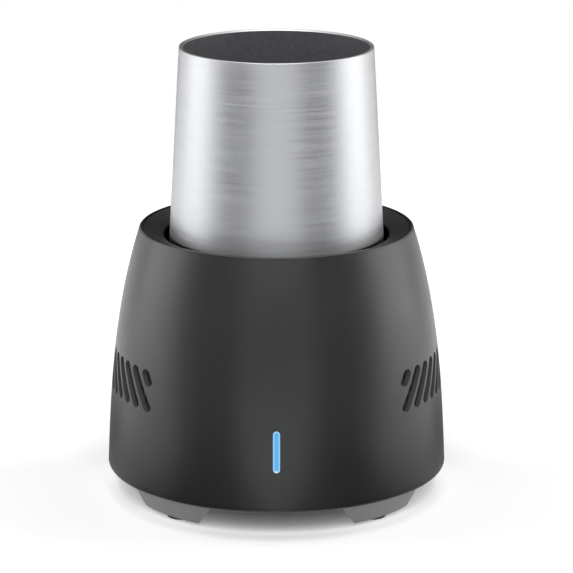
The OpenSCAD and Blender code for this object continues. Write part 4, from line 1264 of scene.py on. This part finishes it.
class CHILLER_OT_fan_stack(bpy.types.Operator):
    """Rounds the fan's frame and impeller, and finishes its motor and the heat sink"""
    bl_idname = "chiller.fan_stack"
    bl_label = "Fan and heat sink"

    def execute(self, context):
        tones = context.scene.chiller_colours
        # Moulded with glass fibre: black and half dull.
        black = moulded_plastic("Glass-filled PBT, black", tones.black, 0.5, 0.45 * MM, 0.015 * MM)
        # The same stuff on thin blades: a little lighter and smoother.
        blades = moulded_plastic(
            "Glass-filled PBT, blades", shade_of(tones.black, 1.3), 0.42, 0.45 * MM, 0.012 * MM)
        for node, body, finish in (("fan_frame", "base", black), ("fan_impeller", "fan_rotor", blades)):
            piece = copy_of(node)
            soften(piece, 0.25 * MM, 50)
            dress(piece, body, "black_plastic", finish, node)
        # Pressed through a die: pale grey, with long fine lines along the fins.
        coat("heat_sink", brushed_metal(
            "Extruded aluminium", linear("#c3c5c8"), 0.36, (14 * MM, 0.5 * MM, 0.5 * MM), 0.008 * MM))
        # Ground round: bright, with fine rings.
        coat("fan_shaft", brushed_metal(
            "Ground steel", linear("#cdcfd2"), 0.2, (2 * MM, 2 * MM, 0.2 * MM), 0.002 * MM))
        # Pressed from powder: yellowish brown, with fine grains.
        coat("fan_bearing", cell_material(
            "Sintered bronze", linear("#b28f52"), linear("#7d6336"), 0.25 * MM, 0.45, 0.01 * MM, 1.0))
        # Wound enamelled wire: reddish brown, with dark joints.
        coat("fan_stator", gridded(
            "Enamelled copper winding", linear("#b8703a"), linear("#5a2f14"), 0.5 * MM, 0.08 * MM, 0.3, 1.0))
        # Pressed and fired powder: dark grey and dull.
        coat("fan_magnet", cell_material(
            "Ferrite magnet", linear("#4b4846"), linear("#35322f"), 0.4 * MM, 0.6, 0.01 * MM))
        return {"FINISHED"}


class CHILLER_OT_electronics(bpy.types.Operator):
    """Finishes the board, its parts, the switch and the leads"""
    bl_idname = "chiller.electronics"
    bl_label = "Electronics"

    def execute(self, context):
        tones = context.scene.chiller_colours
        # Moulded around its metal: black, with a low even gloss.
        black = moulded_plastic("Epoxy moulding, black", tones.black, 0.4, 0.3 * MM, 0.006 * MM, 1.55)
        coat("control_board", self.laminate())
        for node in ("tact_switch", "controller_chip"):
            coat(node, black)
        # Pressed and fired powder: grey and dull.
        coat("board_inductor", cell_material(
            "Ferrite core", linear("#565450"), linear("#3f3d3a"), 0.4 * MM, 0.6, 0.01 * MM))
        # Drawn can: pale grey, with a soft shine.
        coat("board_capacitors", brushed_metal(
            "Aluminium can", linear("#bfc1c6"), 0.3, (1 * MM,) * 3, 0.004 * MM))
        # Moulded: ivory, with a soft shine.
        coat("board_connectors", moulded_plastic(
            "Nylon, ivory", linear("#e6e2d4"), 0.45, 0.4 * MM, 0.008 * MM))
        # Moulded: white and smooth.
        coat("switch_plunger", moulded_plastic(
            "Acetal, white", linear("#d9d9d6"), 0.4, 0.4 * MM, 0.006 * MM, 1.48))
        # Cast drop: pale yellow, with a clear shine.
        coat("indicator_leds", moulded_plastic(
            "Clear silicone over phosphor", linear("#f0ecd2"), 0.3, 0.3 * MM, 0.004 * MM, 1.41))
        # Extruded sleeve: black, with a soft shine.
        sleeve = moulded_plastic("PVC sleeve, black", linear("#1c1c1e"), 0.45, 0.9 * MM, 0.01 * MM)
        for node in ("power_lead", "fan_lead", "sensor_lead"):
            coat(node, sleeve)
        # Extruded sleeve: red, with a soft shine.
        coat("peltier_lead", moulded_plastic(
            "PVC sleeve, red", linear("#a5302b"), 0.42, 0.9 * MM, 0.01 * MM))
        return {"FINISHED"}

    def laminate(self):
        """Glass-epoxy board under green solder mask: a faint weave, and tracks as lighter lines."""
        weave_size = 0.5 * MM
        material, tree, place = blank("Glass-epoxy laminate, green mask")
        upright = add(tree, "ShaderNodeMapping", {"Vector": place, "Rotation": (QUARTER, 0, 0)})
        tracks = add(tree, "ShaderNodeTexBrick", {
            "Vector": upright.outputs[0], "Color1": linear("#2b6b45"), "Color2": linear("#256140"),
            "Mortar": linear("#3f8a5c"), "Scale": 1.0, "Mortar Size": 0.25 * MM, "Brick Width": 4.2 * MM,
            "Row Height": 1.9 * MM})
        weave = add(tree, "ShaderNodeTexNoise", {"Vector": place, "Scale": 1 / weave_size, "Detail": 2.0})
        surface(tree, weave.outputs["Fac"], 0.01 * MM, {
            "Base Color": tracks.outputs["Color"], "Roughness": 0.35, "IOR": 1.55})
        return material


class CHILLER_OT_stage(bpy.types.Operator):
    """Lays the pale floor and sets the lamps, the cards, the sky and the camera"""
    bl_idname = "chiller.stage"
    bl_label = "Stage"

    def execute(self, context):
        tones = context.scene.chiller_colours
        self.floor(tones.floor)
        self.lamp("Left softbox", (-0.94, 0.15, 0.34), 0.7, 1.1, 4.0)
        self.lamp("Right softbox", (0.94, 0.15, 0.34), 0.7, 1.1, 4.7)
        self.lamp("Top softbox", (0, -0.1, 1.5), 1.2, 1.2, 12.0)
        self.lamp("Front softbox", (0, -1.3, 1.25), 1.0, 0.8, 13.0)
        for side, name in ((-1, "Left"), (1, "Right")):
            self.card(name + " flag", side * 43, 0.24, 0.3, 0.18, 0.6, "#b8b8b8")
            self.card(name + " rear flag", side * 137, 0.5, 0.5, 0.34, 0.5, "#303030")
            self.cloth(name + " floor cloth", side * 37, 0.17, 0.11, 0.2, "#404040")
            self.cloth(name + " side floor cloth", side * 84, 0.1, 0.1, 0.08, "#c0c0c0")
            self.cloth(name + " rear floor cloth", side * 137, 0.14, 0.14, 0.14, "#808080")
        self.card("Front flag", 0, 0.4, 0.32, 0.24, 0.6, "#d0d0d0")
        self.card("Back flag", 180, 0.6, 0.3, 0.62, 0.6, "#181818")
        self.gap_flag(context.scene.chiller_sizes)
        self.sky(context.scene)
        self.camera(context.scene)
        context.scene.view_settings.view_transform = "Standard"
        return {"FINISHED"}

    def floor(self, tone):
        """Painted board: pale and off-white to the eye.

        A glow eases the shadow close to the object, evens it out behind the object and whitens the board far
        from it.
        """
        grain_size = 60 * MM
        shade_r = 63.5 * MM
        shade_back = 7 * MM
        rear_start = 20 * MM
        rear_end = 58 * MM
        far_start = 110 * MM
        far_end = 235 * MM
        near_level = 0.46
        rear_level = 0.1
        far_level = 0.3
        clear_selection()
        bpy.ops.mesh.primitive_plane_add(size=1.4)
        floor = bpy.context.object
        floor.name = "floor"
        material, tree, place = blank("Painted floor, pale")
        grain = add(tree, "ShaderNodeTexNoise", {"Vector": place, "Scale": 1 / grain_size, "Detail": 2.0})
        mixed = add(tree, "ShaderNodeMix", {0: grain.outputs["Fac"], **shades(tone, 0.01)}, data_type="RGBA")
        paint = add(tree, "ShaderNodeBsdfDiffuse", {"Color": mixed.outputs[2]})
        around = add(tree, "ShaderNodeVectorMath", {
            0: place, 1: (0.0, shade_back, 0.0)}, operation="SUBTRACT")
        reach = add(tree, "ShaderNodeVectorMath", {0: around.outputs[0]}, operation="LENGTH")
        share = add(tree, "ShaderNodeMath", {0: reach.outputs["Value"], 1: shade_r}, operation="DIVIDE")
        rise = add(tree, "ShaderNodeMath", {0: share.outputs[0], 1: 6.0}, operation="POWER")
        fall = add(tree, "ShaderNodeMath", {0: share.outputs[0], 1: -8.5}, operation="POWER")
        peak = add(tree, "ShaderNodeMath", {0: rise.outputs[0], 1: fall.outputs[0]}, operation="MINIMUM")
        near = add(tree, "ShaderNodeMath", {0: peak.outputs[0], 1: near_level}, operation="MULTIPLY")
        far = add(tree, "ShaderNodeMapRange", {
            "Value": reach.outputs["Value"], "From Min": far_start, "From Max": far_end,
            "To Min": 0.0, "To Max": far_level})
        parts = add(tree, "ShaderNodeSeparateXYZ", {"Vector": place})
        back = add(tree, "ShaderNodeMapRange", {
            "Value": parts.outputs["Y"], "From Min": rear_start, "From Max": rear_end})
        eased = add(tree, "ShaderNodeMix", {
            0: back.outputs[0], 2: near.outputs[0], 3: rear_level}, data_type="FLOAT")
        both = add(tree, "ShaderNodeMath", {0: eased.outputs[0], 1: far.outputs[0]}, operation="MAXIMUM")
        level = add(tree, "ShaderNodeMath", {0: both.outputs[0], 1: self.seen(tree)}, operation="MULTIPLY")
        glow = add(tree, "ShaderNodeEmission", {"Color": WHITE, "Strength": level.outputs[0]})
        lit = add(tree, "ShaderNodeAddShader", {0: paint.outputs[0], 1: glow.outputs[0]})
        add(tree, "ShaderNodeOutputMaterial", {"Surface": lit.outputs[0]})
        floor.data.materials.append(material)

    def seen(self, tree):
        """1 for rays from the camera, from gloss and through glass, and 0 for the others."""
        path = add(tree, "ShaderNodeLightPath")
        first = add(tree, "ShaderNodeMath", {
            0: path.outputs["Is Camera Ray"], 1: path.outputs["Is Glossy Ray"]}, operation="MAXIMUM")
        both = add(tree, "ShaderNodeMath", {
            0: first.outputs[0], 1: path.outputs["Is Transmission Ray"]}, operation="MAXIMUM")
        return both.outputs[0]

    def lamp(self, name, place, width, height, watts):
        """Area lamp that faces the object's middle."""
        middle = Vector((0, 0, 0.09))
        clear_selection()
        bpy.ops.object.light_add(type="AREA", location=place)
        lamp = bpy.context.object
        lamp.name = name
        lamp.data.shape = "RECTANGLE"
        lamp.data.size = width
        lamp.data.size_y = height
        lamp.data.energy = watts
        lamp.rotation_euler = (middle - Vector(place)).to_track_quat("-Z", "Y").to_euler()

    def cloth(self, name, around, reach, width, depth, code):
        """Card that lies just above the floor."""
        self.card(name, around, reach, 1 * MM, width, depth, code, flat=True)

    def card(self, name, around, reach, level, width, height, code, flat=False):
        """Matt card that the object mirrors, and that neither the camera nor the soft light sees.

        It stands or lies at an angle in degrees from the front and at a distance from the object's axis.
        """
        pile_size = 4 * MM
        clear_selection()
        turn = math.radians(around)
        place = (reach * math.sin(turn), -reach * math.cos(turn), level)
        bpy.ops.mesh.primitive_plane_add(size=1, location=place, rotation=(0 if flat else QUARTER, 0, turn))
        card = bpy.context.object
        card.name = name.replace(" ", "_")
        card.scale = (width, height, 1)
        settle(card)
        material, tree, where = blank(name + " cloth")
        pile = add(tree, "ShaderNodeTexNoise", {"Vector": where, "Scale": 1 / pile_size})
        mixed = add(tree, "ShaderNodeMix", {
            0: pile.outputs["Fac"], **shades(linear(code), 0.1)}, data_type="RGBA")
        matt = add(tree, "ShaderNodeBsdfDiffuse", {"Color": mixed.outputs[2]})
        add(tree, "ShaderNodeOutputMaterial", {"Surface": matt.outputs[0]})
        card.data.materials.append(material)
        card.visible_camera = False
        card.visible_diffuse = False
        card.visible_shadow = False

    def gap_flag(self, s):
        """Black ring, unseen itself, that keeps the lamps' light out of the gap around the cup."""
        thin = 0.02 * MM
        level = s.rim_z - s.slack - s.dish_drop
        inner = s.cup_base_r - (level - s.cup_z) * math.tan(s.cup_taper) + s.slack
        outline = [(inner, level - thin), (s.hole_r, level - thin), (s.hole_r, level), (inner, level)]
        ring = lathe("gap_flag", outline)
        material, tree = blank("Gap flag cloth")[:2]
        matt = add(tree, "ShaderNodeBsdfDiffuse", {"Color": BLACK})
        add(tree, "ShaderNodeOutputMaterial", {"Surface": matt.outputs[0]})
        ring.data.materials.append(material)
        ring.visible_camera = False

    def sky(self, scene):
        """White to the eye and in gloss, and a plain grey as light."""
        grey = 0.3
        world = bpy.data.worlds.new("Studio")
        scene.world = world
        world.use_nodes = True
        tree = world.node_tree
        tree.nodes.clear()
        level = add(tree, "ShaderNodeMapRange", {"Value": self.seen(tree), "To Min": grey, "To Max": 1.0})
        light = add(tree, "ShaderNodeBackground", {"Color": WHITE, "Strength": level.outputs[0]})
        add(tree, "ShaderNodeOutputWorld", {"Surface": light.outputs[0]})

    def camera(self, scene):
        """Long lens in front of the object, a little above it and pitched down."""
        place = (0, -1.0913, 0.3738)
        pitch = math.radians(74.975)
        clear_selection()
        bpy.ops.object.camera_add(location=place, rotation=(pitch, 0, 0))
        camera = bpy.context.object
        camera.data.sensor_width = 36
        camera.data.lens = 183.21
        camera.data.shift_x = 0.01745
        scene.camera = camera


PIECES = (
    CHILLER_OT_housing, CHILLER_OT_collar, CHILLER_OT_cup, CHILLER_OT_power_key, CHILLER_OT_vent_screens,
    CHILLER_OT_base, CHILLER_OT_foot_pads, CHILLER_OT_screws, CHILLER_OT_dc_inlet, CHILLER_OT_cold_side,
    CHILLER_OT_fan_stack, CHILLER_OT_electronics, CHILLER_OT_stage,
)


class CHILLER_PT_panel(bpy.types.Panel):
    """Lists the pieces of the chiller in the order in which they are made"""
    bl_idname = "CHILLER_PT_panel"
    bl_label = "Drink chiller"
    bl_space_type = "VIEW_3D"
    bl_region_type = "UI"
    bl_category = "Chiller"

    def draw(self, context):
        for piece in PIECES:
            self.layout.operator(piece.bl_idname)


CLASSES = (ChillerSizes, ChillerColours) + PIECES + (CHILLER_PT_panel,)


def register():
    """Registers the classes and the two groups of properties."""
    for each in CLASSES:
        bpy.utils.register_class(each)
    bpy.types.Scene.chiller_sizes = PointerProperty(type=ChillerSizes)
    bpy.types.Scene.chiller_colours = PointerProperty(type=ChillerColours)


def unregister():
    """Removes what register added."""
    del bpy.types.Scene.chiller_colours
    del bpy.types.Scene.chiller_sizes
    for each in reversed(CLASSES):
        bpy.utils.unregister_class(each)


def main():
    """Makes every piece in order."""
    register()
    bpy.ops.chiller.housing()
    bpy.ops.chiller.collar()
    bpy.ops.chiller.cup()
    bpy.ops.chiller.power_key()
    bpy.ops.chiller.vent_screens()
    bpy.ops.chiller.base()
    bpy.ops.chiller.foot_pads()
    bpy.ops.chiller.screws()
    bpy.ops.chiller.dc_inlet()
    bpy.ops.chiller.cold_side()
    bpy.ops.chiller.fan_stack()
    bpy.ops.chiller.electronics()
    bpy.ops.chiller.stage()


if __name__ == "__main__":
    main()
